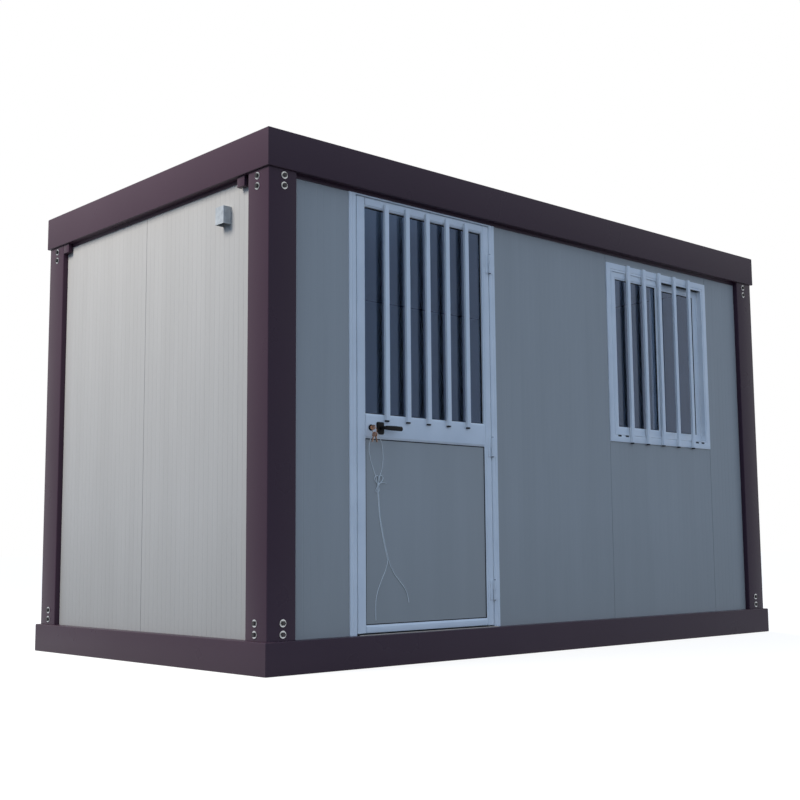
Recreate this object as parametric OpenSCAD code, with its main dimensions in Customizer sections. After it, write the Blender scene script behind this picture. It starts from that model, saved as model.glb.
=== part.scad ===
// Portable office cabin: a steel base frame and roof frame on four corner posts,
// insulated wall panels, a barred outward-opening door and a barred sliding window.
// Millimetres, +Z up, the front with the door faces -Y. The origin is the centre of
// the base frame at ground level.

/* [Overall] */
// Outside length of the base frame
base_l = 4000; // [3300:50:4900]
// Outside width of the base frame
base_w = 2150; // [1750:10:2700]
// Height from the ground to the top of the roof frame
total_h = 2450; // [2350:10:3000]

/* [Frame steel] */
// Height of the base beams
base_h = 147; // [120:1:180]
// Height of the roof beams
roof_h = 180; // [140:1:220]
// Inset of the roof beams' outer faces from the base beams' outer faces
roof_in = 8; // [0:1:15]
// Inset of the posts' outer faces from the base beams' outer faces
post_in = 20; // [15:1:30]
// Width of each face of a corner post
post_face = 160; // [120:1:200]
// Thickness of the rolled frame steel
steel_t = 5; // [3:0.5:6]
// Length by which the base and roof flanges run on behind the wall panels
flange_lap = 10; // [5:1:40]
// Height of the drip lip under the roof beams
lip_h = 18; // [10:1:30]
// Thickness of the drip lip
lip_t = 6; // [3:1:8]
// Width of the ledge that carries the roof sheet
ledge_w = 45; // [30:1:70]
// Height of that ledge above the underside of the roof beams
ledge_z = 110; // [90:1:120]
// Size of the lugs under the end roof beams, along the wall and upright
lug = [58, 50]; // [20:1:100]
// Gap between the front lug and the post beside it
lug_gap = 30; // [10:1:200]

/* [Floor, ceiling and roof] */
// Thickness of the floor board
board_t = 18; // [12:1:30]
// Number of floor joists
joist_count = 7; // [3:1:12]
// Width of a floor joist
joist_w = 50; // [40:1:80]
// Thickness of the ceiling panel
ceiling_t = 40; // [30:1:60]
// Height of the ribs of the roof sheet
rib_h = 30; // [20:1:40]
// Number of ribs of the roof sheet
rib_count = 14; // [6:1:20]
// Thickness of the roof sheet
sheet_t = 3; // [2:0.5:4]

/* [Wall panels] */
// Inset of the wall faces from the base beams' outer faces
wall_in = 50; // [40:1:60]
// Thickness of the wall panels
panel_t = 40; // [35:1:60]
// Open line between neighbouring panels
panel_gap = 2; // [1:0.5:4]
// Distance of the end walls' joints behind the middle of the cabin
end_shift = 43; // [0:1:100]
// Number of panels along the back wall
back_count = 4; // [3:1:6]

/* [Door] */
// Distance of the door set from the left end of the base frame
door_x = 514; // [300:1:700]
// Width of the door set over its jambs
door_w = 1009; // [800:1:1250]
// Face width of the jambs
jamb_w = 42; // [35:1:60]
// Height by which the door and window sets stand proud of the wall faces
set_proud = 6; // [2:1:10]
// Clearance round the door leaf
leaf_gap = 6; // [6:0.5:8]
// Gap between the closed leaf and its stops
stop_gap = 5; // [5:0.5:8]
// Width of the leaf's stile on the lock side
stile_lock = 53; // [40:1:70]
// Width of the leaf's stile on the hinge side
stile_hinge = 46; // [40:1:70]
// Height of the leaf's bottom rail
rail_bottom = 36; // [30:1:80]
// Height of the leaf's top rail
rail_top = 42; // [30:1:80]
// Height above the ground of the top of the leaf's middle rail
mid_rail_z = 1186; // [1000:1:1300]
// Height of the leaf's middle rail
mid_rail_h = 119; // [100:1:160]
// Distance of the glass behind the face of the leaf
glass_back = 18; // [10:1:24]
// Thickness of the panes
glass_t = 5; // [4:1:8]
// Distance of the infill panel behind the face of the leaf
infill_back = 8; // [4:1:12]
// Distance of the infill panel's back in front of the back of the leaf
infill_rest = 6; // [2:1:8]
// Width and depth of the door stops
stop = [12, 7]; // [5:1:20]
// Height of the threshold strip
threshold_h = 3; // [2:1:6]

/* [Hinges] */
// Height of the lowest hinge's middle above the leaf's lower edge
hinge_low = 176; // [120:1:300]
// Depth of the highest hinge's middle below the leaf's upper edge
hinge_high = 200; // [120:1:300]
// Height of a hinge
hinge_h = 100; // [80:1:140]
// Radius of a hinge knuckle
knuckle_r = 8; // [6:0.5:10]
// Radius of a hinge pin
pin_r = 4; // [3:0.5:5]
// Width of a hinge plate from the pin
hinge_plate_w = 28; // [20:1:32]
// Thickness of a hinge plate
hinge_plate_t = 4; // [3:0.5:5]
// Radial clearance of the turning fits
turn_fit = 0.08; // [0.02:0.01:0.1]
// Gap between a hinge's plates and knuckles
hinge_gap = 1; // [0.5:0.5:2]

/* [Lever handle] */
// Distance of the lever's pivot from the left edge of the door set
pivot_x = 188; // [170:1:260]
// Height of the lever's pivot above the ground
pivot_z = 1119; // [1100:1:1140]
// Length of the levers from the pivot
lever_len = 100; // [80:1:130]
// Radius of the levers' rounded ends, seen from the front
lever_r = 12; // [9:1:14]
// Depth of a lever bar
lever_d = 16; // [10:1:20]
// Distance of the lever bars from their plates
lever_off = 22; // [15:1:40]
// Radius of the spindle
spindle_r = 8; // [6:1:9]
// Size of a handle plate, width, depth and height
handle_plate = [44, 8, 60]; // [5:1:80]
// Distance of the key cylinder from the pivot
cylinder_x = 57; // [45:1:65]
// Radius of the key cylinder's rose
rose_r = 15; // [12:1:18]
// Depth of the rose
rose_d = 6; // [4:1:8]

/* [Keys] */
// Radius of a key's bow
bow_r = 12; // [9:1:13]
// Thickness of a key
key_t = 2.5; // [2:0.5:3]
// Length of a key's blade below its bow
key_blade = 26; // [20:1:32]
// Radius of the hole in a key's bow
key_hole_r = 3; // [2.5:0.5:4]
// Radius of the key ring
ring_r = 14; // [10:1:16]
// Radius of the key ring's wire
ring_wire = 1.2; // [0.8:0.1:1.5]
// Play of the ring in the keys' holes
key_play = 0.3; // [0.2:0.1:0.5]
// Radius of the string
string_r = 1.6; // [1:0.1:2]

/* [Window] */
// Distance of the window from the left end of the base frame
window_x = 2480; // [2100:1:2700]
// Width of the window frame
window_w = 1004; // [700:1:1250]
// Height of the underside of the window frame above the ground
sill_z = 1153; // [950:1:1300]
// Height of the window frame
window_h = 1055; // [700:1:1060]
// Face width of the window frame
window_face = 48; // [40:1:60]
// Face width of the sashes
sash_face = 42; // [35:1:60]
// Thickness of a sash
sash_t = 24; // [18:1:30]
// Gap between the two sashes
sash_gap = 4; // [2:1:6]
// Thickness of the frame's tracks in front of and behind the sashes
track_t = 6; // [4:1:10]

/* [Guard bars] */
// Number of bars on the door, and on the window
bar_count = 5; // [3:1:8]
// Width and depth of a bar
bar = [26, 16]; // [10:1:40]
// Wall of a bar
bar_wall = 1.5; // [1:0.5:3]
// Distance between the door's bars
door_bar_pitch = 139; // [100:1:160]
// Distance between the window's bars
window_bar_pitch = 154; // [100:1:190]
// Overlap of the door's bars on the rails above and below the glass
bar_lap = 27; // [15:1:30]

/* [Cable cowl] */
// Distance of the cowl from the front corner
cowl_y = 356; // [300:1:600]
// Height of the cowl's mouth above the ground
cowl_z = 2070; // [1800:1:2100]
// Size of the cowl: out from the wall, along the wall and upright
cowl = [45, 68, 85]; // [30:1:120]
// Wall of the cowl
cowl_wall = 3; // [2:0.5:4]

/* [Hidden] */
$fn = 48;

// Frame: flange widths, beam lengths and the level where the walls end
base_flange = wall_in + panel_t + flange_lap;
roof_flange = base_flange - roof_in;
roof_l = base_l - 2 * roof_in;
roof_w = base_w - 2 * roof_in;
wall_top = total_h - roof_h;
lip_z = wall_top - lip_h;
post_end = post_in + post_face;
sheet_x0 = roof_in + steel_t + 1;
rib_pitch = (base_l - 2 * sheet_x0) / rib_count;
rib_base = 0.45 * rib_pitch;
rib_slope = 0.1 * rib_pitch;
wall_back = wall_in + panel_t;

// End walls: they fit between the front and back walls, with a joint between two panels
end_joint = base_w / 2 + end_shift;
end_y = [wall_back + panel_gap, end_joint, base_w - wall_back - panel_gap];

// Door: the set's edges, the leaf's edges and the levels of its rails
set_face = wall_in - set_proud;
door_x1 = door_x + door_w;
opening_x0 = door_x + jamb_w;
opening_x1 = door_x1 - jamb_w;
head_z = lip_z - 7;
leaf_x0 = opening_x0 + leaf_gap;
leaf_x1 = opening_x1 - leaf_gap;
leaf_z0 = base_h + threshold_h + leaf_gap;
leaf_z1 = head_z - leaf_gap;
leaf_back = wall_back - stop[1] - stop_gap;
light_x0 = leaf_x0 + stile_lock;
light_x1 = leaf_x1 - stile_hinge;
light_z1 = leaf_z1 - rail_top;
mid_rail_z0 = mid_rail_z - mid_rail_h;
infill_z0 = leaf_z0 + rail_bottom;
bar_middle = (light_x0 + light_x1) / 2;

// Hinges and lever
pin_x = opening_x1 - leaf_gap / 2;
pin_y = set_face - knuckle_r;
hinge_z = [leaf_z0 + hinge_low, mid_rail_z0, leaf_z1 - hinge_high];
lever_x = door_x + pivot_x;
rail_bore_r = spindle_r + 5;
plate_front = set_face - handle_plate[1];
plate_back = leaf_back + handle_plate[1];
lever_front = plate_front - lever_off - lever_d;
lever_back = plate_back + lever_off + lever_d;
lock_x = lever_x - cylinder_x;

// Window
window_x1 = window_x + window_w;
window_z1 = sill_z + window_h;
sash_x0 = window_x + window_face;
sash_x1 = window_x1 - window_face;
sash_z0 = sill_z + window_face;
sash_z1 = window_z1 - window_face;
sash_middle = (sash_x0 + sash_x1) / 2;
sash_outer_y = wall_in;
sash_inner_y = sash_outer_y + sash_t + sash_gap;
window_back = sash_inner_y + sash_t + track_t;

// Keys: how far a key's bow stands off the cylinder, and the ring that joins them
bow_y = set_face - rose_d - bow_r - 2;
bow_hole_y = bow_y - bow_r + key_hole_r + 2;
ring_z = pivot_z - key_hole_r + ring_wire + key_play - ring_r;

// The string's two strands, as points from the left end, the front face and the
// ground: each leaves the key ring, and they run side by side until they part
string_sides = 8;
string_long = [
    [631, 17, 1094.6], [629, 21, 1080], [630, 29, 1063], [632, 40, 1042],
    [636, 48, 1012], [645, 50, 976], [657, 50, 941], [670, 50, 909],
    [682, 50, 880], [689, 50, 850], [690, 50, 815], [694, 50, 770],
    [698, 50, 725], [705, 50, 676], [717, 50, 620], [732, 50, 560],
    [745, 50, 515], [750, 50, 485], [738, 50, 445], [712, 50, 398],
    [690, 50, 352], [677, 50, 310], [674, 50, 260], [675, 50, 212]
];
string_short = [
    [659, 17, 1095.1], [667, 20, 1088], [682, 27, 1077], [701, 36, 1060],
    [716, 44, 1038], [724, 49, 1005], [726, 50, 966], [721, 50, 932],
    [711, 50, 904], [701, 50, 877], [694.5, 50, 850], [695, 50, 815],
    [699, 50, 770], [703, 50, 725], [710, 50, 676], [722, 50, 620],
    [737, 50, 560], [751, 50, 515], [762, 50, 482], [780, 50, 448],
    [803, 50, 417], [836, 50, 384], [863, 50, 354], [879, 50, 324], [887, 50, 288]
];

// Everything is drawn from the base frame's front left corner and moved once
module place() {
    translate([-base_l / 2, -base_w / 2, 0]) children();
}

// A block between two values on each axis
module block(x, y, z) {
    translate([x[0], y[0], z[0]])
        cube([x[1] - x[0], y[1] - y[0], z[1] - z[0]]);
}

// A straight cylinder along Y between two values
module round_y(x, z, y, r) {
    translate([x, y[0], z]) rotate([-90, 0, 0]) cylinder(h = y[1] - y[0], r = r);
}

// What is drawn along the front side, carried to another side of the frame
module on_side(side) {
    if (side == "front") children();
    if (side == "back") translate([0, base_w, 0]) mirror([0, 1, 0]) children();
    if (side == "left") mirror([1, -1, 0]) children();
    if (side == "right") translate([base_l, 0, 0]) mirror([1, 0, 0]) mirror([1, -1, 0]) children();
}

// A beam along +X with mitred ends; its profile is in inward distance and height
module mitred_beam(length, reach, profile) {
    intersection() {
        rotate([90, 0, 90]) linear_extrude(length) polygon(profile);
        translate([0, 0, -total_h]) linear_extrude(3 * total_h)
            polygon([[0, 0], [length, 0], [length - reach, reach], [reach, reach]]);
    }
}

module base_beam(side, length) {
    color("#3a2b3d") place() on_side(side)
        mitred_beam(length, base_flange, [
            [0, 0], [base_flange, 0], [base_flange, steel_t], [steel_t, steel_t],
            [steel_t, base_h - steel_t], [base_flange, base_h - steel_t],
            [base_flange, base_h], [0, base_h]
        ]);
}

module roof_beam(side, length) {
    color("#3a2b3d") place() on_side(side) {
        translate([roof_in, roof_in, wall_top])
            mitred_beam(length - 2 * roof_in, roof_flange, [
                [0, 0], [roof_flange, 0], [roof_flange, steel_t], [steel_t, steel_t],
                [steel_t, ledge_z], [ledge_w, ledge_z], [ledge_w, ledge_z + steel_t],
                [steel_t, ledge_z + steel_t], [steel_t, roof_h - steel_t],
                [ledge_w + 20, roof_h - steel_t], [ledge_w + 20, roof_h], [0, roof_h]
            ]);
        block([post_end, length - post_end], [wall_in - lip_t, wall_in], [lip_z, wall_top + 1]);
    }
}

module floor_joists() {
    inner = steel_t + 1;
    first = base_flange + joist_w;
    pitch = (base_l - 2 * first - joist_w) / (joist_count - 1);
    color("#77797c") place()
        for (i = [0 : joist_count - 1])
            block([first + i * pitch, first + i * pitch + joist_w],
                  [inner, base_w - inner], [steel_t, base_h - board_t]);
}

module floor_board() {
    edge = base_flange + 1;
    color("#8b8f8c") place()
        block([edge, base_l - edge], [edge, base_w - edge], [base_h - board_t, base_h]);
}

// Trapezoidal ribs: the upper outline, and the same one sheet lower
module roof_sheet() {
    z0 = wall_top + ledge_z + steel_t;
    upper = [for (i = [0 : rib_count - 1], p = [
        [0, 0], [rib_base, 0], [rib_base + rib_slope, rib_h], [rib_pitch - rib_slope, rib_h]
    ]) [sheet_x0 + i * rib_pitch + p[0], z0 + sheet_t + p[1]]];
    last = [[base_l - sheet_x0, z0 + sheet_t]];
    outline = concat(upper, last);
    count = len(outline);
    lower = [for (i = [count - 1 : -1 : 0]) outline[i] - [0, sheet_t]];
    color("#b9bec2") place()
        translate([0, base_w - sheet_x0, 0]) rotate([90, 0, 0])
            linear_extrude(base_w - 2 * sheet_x0) polygon(concat(outline, lower));
}

module ceiling_panel() {
    edge = sheet_x0;
    z0 = wall_top + steel_t;
    color("#d8dadb") place()
        block([edge, base_l - edge], [edge, base_w - edge], [z0, z0 + ceiling_t]);
}

module roof_lugs() {
    near = post_end + lug_gap;
    far = base_w - post_end - lug[0] - 1;
    color("#2c2230") place()
        for (side = ["left", "right"], y = [near, far])
            translate([side == "left" ? 0 : base_l, 0, 0])
                mirror([side == "left" ? 0 : 1, 0, 0])
                    block([post_in, wall_in - lip_t], [y, y + lug[0]], [wall_top - lug[1], wall_top]);
}

// A corner post: two outer faces with their edges turned in to the walls
module post(right, back) {
    a = post_in;
    b = post_end;
    t = steel_t;
    w = wall_in;
    color("#3a2b3d") place()
        translate([right ? base_l : 0, back ? base_w : 0, 0])
            mirror([right ? 1 : 0, 0, 0]) mirror([0, back ? 1 : 0, 0])
                translate([0, 0, base_h]) linear_extrude(wall_top - base_h)
                    polygon([
                        [a, a], [b, a], [b, w], [b - t, w], [b - t, a + t],
                        [a + t, a + t], [a + t, b - t], [w, b - t], [w, b], [a, b]
                    ]);
}

module front_panel(x0, x1, z0, z1) {
    color("#8f9aa3") place()
        block([x0, x1], [wall_in, wall_back], [z0, z1]);
}

module left_panel(y0, y1) {
    color("#c3c5c6") place()
        block([wall_in, wall_back], [y0, y1], [base_h, wall_top]);
}

module right_panels() {
    color("#c3c5c6") place()
        for (y = [[end_y[0], end_y[1] - panel_gap], [end_y[1], end_y[2]]])
            block([base_l - wall_back, base_l - wall_in], y, [base_h, wall_top]);
}

module back_panels() {
    width = (base_l - 2 * wall_in - (back_count - 1) * panel_gap) / back_count;
    color("#c3c5c6") place()
        for (i = [0 : back_count - 1])
            translate([wall_in + i * (width + panel_gap), base_w - wall_back, base_h])
                cube([width, panel_t, wall_top - base_h]);
}

module door_jambs() {
    color("#b4c0d0") place()
        for (right = [false, true]) {
            x = right ? [opening_x1, door_x1] : [door_x, opening_x0];
            s = right ? [opening_x1 - stop[0], opening_x1 + 1] : [opening_x0 - 1, opening_x0 + stop[0]];
            union() {
                block(x, [wall_in, wall_back], [base_h, wall_top]);
                block(x, [set_face, wall_in + 1], [base_h, lip_z]);
                block(s, [wall_back - stop[1], wall_back], [base_h, wall_top]);
            }
        }
}

module door_head() {
    x = [opening_x0, opening_x1];
    inner = [opening_x0 + stop[0], opening_x1 - stop[0]];
    color("#b4c0d0") place() {
        difference() {
            block(x, [wall_in, wall_back], [head_z, wall_top]);
            block([x[0] - 1, inner[0]], [wall_back - stop[1], wall_back + 1], [head_z - 1, wall_top + 1]);
            block([inner[1], x[1] + 1], [wall_back - stop[1], wall_back + 1], [head_z - 1, wall_top + 1]);
        }
        block(x, [set_face, wall_in + 1], [head_z, lip_z]);
        block(inner, [wall_back - stop[1], wall_back], [head_z - stop[0], head_z + 1]);
    }
}

module door_threshold() {
    color("#b7a793") place()
        block([opening_x0, opening_x1], [post_in, wall_back - stop[1]], [base_h, base_h + threshold_h]);
}

// One half of each hinge: a plate beside the pin and a knuckle on it. The jamb's half
// has the lower knuckle and the pin, the leaf's half the upper knuckle.
module hinge_half(z, on_leaf) {
    half = hinge_h / 2;
    own_z = on_leaf ? [hinge_gap / 2, half] : [-half, -hinge_gap / 2];
    translate([pin_x, pin_y, z]) {
        difference() {
            union() {
                translate([0, 0, own_z[0]]) cylinder(h = own_z[1] - own_z[0], r = knuckle_r);
                mirror([on_leaf ? 1 : 0, 0, 0]) {
                    block([0, hinge_plate_w], [knuckle_r - hinge_plate_t, knuckle_r], own_z);
                    block([knuckle_r + hinge_gap, hinge_plate_w],
                          [knuckle_r - hinge_plate_t, knuckle_r], [-half, half]);
                }
            }
            if (on_leaf)
                translate([0, 0, -half]) cylinder(h = 2 * hinge_h, r = pin_r + turn_fit);
        }
        if (!on_leaf) translate([0, 0, -half]) cylinder(h = hinge_h, r = pin_r);
    }
}

module jamb_hinges() {
    color("#e3e7ea") place()
        for (z = hinge_z) hinge_half(z, false);
}

module leaf_hinges() {
    color("#e3e7ea") place()
        for (z = hinge_z) hinge_half(z, true);
}

module window_frame() {
    color("#b4c0d0") place()
        difference() {
            union() {
                block([window_x, window_x1], [set_face, wall_in + 1], [sill_z, window_z1]);
                block([window_x, window_x1], [wall_in, window_back], [sill_z, window_z1]);
            }
            block([sash_x0, sash_x1], [set_face - 1, window_back + 1], [sash_z0, sash_z1]);
        }
}

module window_sash(x0, x1, y0) {
    color("#b4c0d0") place()
        difference() {
            block([x0, x1], [y0, y0 + sash_t], [sash_z0, sash_z1]);
            block([x0 + sash_face, x1 - sash_face], [y0 - 1, y0 + sash_t + 1],
                  [sash_z0 + sash_face, sash_z1 - sash_face]);
        }
}

module window_panes() {
    half = sash_face / 2;
    back = (sash_t - glass_t) / 2;
    color("#3d4f63", 0.5) place()
        for (p = [[sash_x0, sash_middle + half, sash_outer_y], [sash_middle - half, sash_x1, sash_inner_y]])
            block([p[0] + sash_face, p[1] - sash_face], [p[2] + back, p[2] + back + glass_t],
                  [sash_z0 + sash_face, sash_z1 - sash_face]);
}

// Open-ended square tubes standing on the face of a frame
module guard_bars(middle, pitch, z) {
    for (i = [0 : bar_count - 1])
        translate([middle + (i - (bar_count - 1) / 2) * pitch, set_face - bar[1], z[0]])
            difference() {
                translate([-bar[0] / 2, 0, 0]) cube([bar[0], bar[1], z[1] - z[0]]);
                translate([-bar[0] / 2 + bar_wall, bar_wall, -1])
                    cube([bar[0] - 2 * bar_wall, bar[1] - 2 * bar_wall, z[1] - z[0] + 2]);
            }
}

module window_bars() {
    color("#b4c0d0") place()
        guard_bars((window_x + window_x1) / 2, window_bar_pitch, [sill_z, window_z1]);
}

// A hood of folded sheet on the left end wall, open towards the ground
module cable_cowl() {
    x = [wall_in - cowl[0], wall_in];
    y = [cowl_y, cowl_y + cowl[1]];
    z = [cowl_z, cowl_z + cowl[2]];
    w = cowl_wall;
    color("#aeb4b8") place()
        difference() {
            block(x, y, z);
            block([x[0] + w, x[1] + 1], [y[0] + w, y[1] - w], [z[0] - 1, z[1] - w]);
        }
}

module leaf_stiles() {
    color("#b4c0d0") place() {
        block([leaf_x0, light_x0], [set_face, leaf_back], [leaf_z0, leaf_z1]);
        block([light_x1, leaf_x1], [set_face, leaf_back], [leaf_z0, leaf_z1]);
    }
}

module leaf_rails() {
    color("#b4c0d0") place() {
        block([light_x0, light_x1], [set_face, leaf_back], [leaf_z0, infill_z0]);
        difference() {
            block([light_x0, light_x1], [set_face, leaf_back], [mid_rail_z0, mid_rail_z]);
            round_y(lever_x, pivot_z, [set_face - 1, leaf_back + 1], rail_bore_r);
        }
        block([light_x0, light_x1], [set_face, leaf_back], [light_z1, leaf_z1]);
    }
}

module leaf_glass() {
    y = set_face + glass_back;
    color("#3d4f63", 0.5) place()
        block([light_x0, light_x1], [y, y + glass_t], [mid_rail_z, light_z1]);
}

module leaf_infill() {
    y = [set_face + infill_back, leaf_back - infill_rest];
    color("#8f9aa3") place()
        block([light_x0, light_x1], y, [infill_z0, mid_rail_z0]);
}

module leaf_bars() {
    color("#b4c0d0") place()
        guard_bars(bar_middle, door_bar_pitch, [mid_rail_z - bar_lap, light_z1 + bar_lap]);
}

// Plates on both faces of the leaf with the spindle's bore, and the key cylinder
module handle_plates() {
    w = handle_plate[0] / 2;
    h = handle_plate[2] / 2;
    color("#17181a") place() {
        for (y = [[plate_front, set_face], [leaf_back, plate_back]])
            difference() {
                block([lever_x - w, lever_x + w], y, [pivot_z - h, pivot_z + h]);
                round_y(lever_x, pivot_z, [y[0] - 1, y[1] + 1], spindle_r + turn_fit);
            }
        round_y(lock_x, pivot_z, [set_face - rose_d, set_face], rose_r);
    }
}

// A key in the plane across the ring, with the middle of its bow at the origin and
// its hole towards +Z; the blade points down
module key() {
    hole_z = bow_r - key_hole_r - 2;
    difference() {
        union() {
            rotate([0, 90, 0]) cylinder(h = key_t, r = bow_r, center = true);
            block([-key_t / 2, key_t / 2], [-4, 4], [-bow_r - key_blade, 0]);
        }
        translate([0, 0, hole_z]) rotate([0, 90, 0])
            cylinder(h = 2 * key_t, r = key_hole_r, center = true);
    }
}

// One key in the cylinder with the ring through its bow, and two keys on the ring
module door_keys() {
    color("#b08d57") place() {
        translate([lock_x, bow_y, pivot_z]) rotate([90, 0, 0])
            intersection() {
                key();
                block([-bow_r, bow_r], [-bow_r, bow_r], [-bow_r - 2, bow_r]);
            }
        translate([lock_x, bow_hole_y, ring_z]) {
            rotate([90, 0, 0]) rotate_extrude() translate([ring_r, 0]) circle(ring_wire);
            for (angle = [-14, 16])
                rotate([0, angle, 0])
                    translate([0, 0, -ring_r - bow_r + key_hole_r + 2 + key_hole_r - ring_wire - key_play])
                        key();
        }
    }
}

// A cord through the given points, with rings square to it
function unit(v) = v / norm(v);
function cord_ring(points, i) =
    let (
        a = points[max(i - 1, 0)],
        b = points[min(i + 1, len(points) - 1)],
        t = unit(b - a),
        n = unit(cross(t, [0, 1, 0])),
        m = cross(t, n)
    )
    [for (j = [0 : string_sides - 1])
        points[i] + string_r * (cos(360 * j / string_sides) * n + sin(360 * j / string_sides) * m)];

module cord(points) {
    n = string_sides;
    count = len(points);
    rings = [for (i = [0 : count - 1], p = cord_ring(points, i)) p];
    sides = [for (i = [0 : count - 2], j = [0 : n - 1])
        [i * n + j, i * n + (j + 1) % n, (i + 1) * n + (j + 1) % n, (i + 1) * n + j]];
    ends = [[for (j = [n - 1 : -1 : 0]) j], [for (j = [0 : n - 1]) (count - 1) * n + j]];
    polyhedron(rings, concat(sides, ends), 4);
}

module key_string_long() {
    color("#dfe2dc") place() cord(string_long);
}

module key_string_short() {
    color("#dfe2dc") place() cord(string_short);
}

// Outer and inner lever on one spindle
module door_lever() {
    color("#17181a") place() {
        round_y(lever_x, pivot_z, [lever_front, lever_back], spindle_r);
        for (y = [lever_front, lever_back - lever_d]) {
            round_y(lever_x, pivot_z, [y, y + lever_d], lever_r);
            round_y(lever_x + lever_len, pivot_z, [y, y + lever_d], lever_r);
            block([lever_x, lever_x + lever_len], [y, y + lever_d], [pivot_z - lever_r, pivot_z + lever_r]);
        }
    }
}

base_beam("front", base_l);  // base_beam_front
base_beam("back", base_l);  // base_beam_back
base_beam("left", base_w);  // base_beam_left
base_beam("right", base_w);  // base_beam_right
floor_joists();
floor_board();
roof_beam("front", base_l);  // roof_beam_front
roof_beam("back", base_l);  // roof_beam_back
roof_beam("left", base_w);  // roof_beam_left
roof_beam("right", base_w);  // roof_beam_right
roof_sheet();
ceiling_panel();
roof_lugs();
post(false, false);  // post_front_left
post(true, false);  // post_front_right
post(false, true);  // post_back_left
post(true, true);  // post_back_right
front_panel(wall_in, door_x, base_h, wall_top);  // front_panel_left
front_panel(door_x1, window_x - panel_gap, base_h, wall_top);  // front_panel_middle
front_panel(window_x, window_x1, base_h, sill_z);  // front_panel_under_window
front_panel(window_x, window_x1, window_z1, wall_top);  // front_panel_over_window
front_panel(window_x1 + panel_gap, base_l - wall_in, base_h, wall_top);  // front_panel_right
left_panel(end_y[0], end_y[1] - panel_gap);  // left_panel_front
left_panel(end_y[1], end_y[2]);  // left_panel_back
right_panels();
back_panels();
door_jambs();
door_head();
door_threshold();
jamb_hinges();
window_frame();
window_sash(sash_x0, sash_middle + sash_face / 2, sash_outer_y);  // window_sash_left
window_sash(sash_middle - sash_face / 2, sash_x1, sash_inner_y);  // window_sash_right
window_panes();
window_bars();
cable_cowl();
leaf_stiles();
leaf_rails();
leaf_glass();
leaf_infill();
leaf_bars();
leaf_hinges();
handle_plates();
door_keys();
key_string_long();
key_string_short();
door_lever();
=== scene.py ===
import math

import bpy
import numpy as np
from bpy.props import FloatProperty, FloatVectorProperty, IntProperty, PointerProperty
from mathutils import Matrix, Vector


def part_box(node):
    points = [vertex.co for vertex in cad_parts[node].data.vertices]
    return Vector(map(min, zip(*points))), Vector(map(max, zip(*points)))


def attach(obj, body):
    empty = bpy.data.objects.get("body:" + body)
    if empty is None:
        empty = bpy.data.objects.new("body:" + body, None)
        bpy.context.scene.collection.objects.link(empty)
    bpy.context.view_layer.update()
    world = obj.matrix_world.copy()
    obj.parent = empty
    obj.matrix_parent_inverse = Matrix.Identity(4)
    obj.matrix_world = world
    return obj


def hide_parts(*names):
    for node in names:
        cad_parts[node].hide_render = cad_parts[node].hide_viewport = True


bl_info = {
    "name": "Portable Office Cabin",
    "version": (1, 0, 0),
    "blender": (4, 5, 0),
    "location": "View3D > Sidebar > Cabin",
    "description": "Finished pieces, materials and studio for a portable office cabin",
    "category": "Object",
}

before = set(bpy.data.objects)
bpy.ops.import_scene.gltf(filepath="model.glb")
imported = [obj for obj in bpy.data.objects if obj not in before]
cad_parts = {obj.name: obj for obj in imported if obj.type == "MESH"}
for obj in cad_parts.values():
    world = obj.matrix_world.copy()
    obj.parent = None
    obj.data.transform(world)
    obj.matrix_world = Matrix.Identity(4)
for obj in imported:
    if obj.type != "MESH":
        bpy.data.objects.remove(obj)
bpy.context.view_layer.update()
MM = 0.001


def span(*nodes):
    """Lowest and highest corners, in mm, of the named CAD nodes together."""
    boxes = [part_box(n) for n in nodes]
    low = np.array([b[0] for b in boxes]).min(axis=0)
    high = np.array([b[1] for b in boxes]).max(axis=0)
    return low / MM, high / MM


# ---------------------------------------------------------------- surfaces

def unit(v):
    return np.asarray(v, float) / np.linalg.norm(v)


def grid(points, wrap_u=False, wrap_v=False, cap=False):
    """Quads over an m by n grid of points: face (i, j) joins rows i and i + 1 at
    columns j and j + 1, and a wrapped side meets its own start. cap closes the first
    and last rows with one face each."""
    p = np.asarray(points, float)
    m, n = p.shape[:2]
    index = np.arange(m * n).reshape(m, n)
    rows = np.arange(m if wrap_u else m - 1)
    cols = np.arange(n if wrap_v else n - 1)
    a = index[rows][:, cols]
    b = index[rows][:, (cols + 1) % n]
    c = index[(rows + 1) % m][:, (cols + 1) % n]
    d = index[(rows + 1) % m][:, cols]
    faces = np.stack([a, b, c, d], axis=-1).reshape(-1, 4).tolist()
    if cap:
        faces.append(index[0][::-1].tolist())
        faces.append(index[-1].tolist())
    return p.reshape(-1, 3), faces


def outward(part):
    """Turns a closed part's faces round where the volume they enclose is negative: the
    volume is a sixth of the sum of a . (b x c) over a fan of each face."""
    v, faces = part
    total = 0.0
    for size in {len(f) for f in faces}:
        q = np.array([f for f in faces if len(f) == size])
        for k in range(1, size - 1):
            total += np.einsum("ij,ij->", v[q[:, 0]], np.cross(v[q[:, k]], v[q[:, k + 1]]))
    return (v, [f[::-1] for f in faces]) if total < 0 else part


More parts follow.
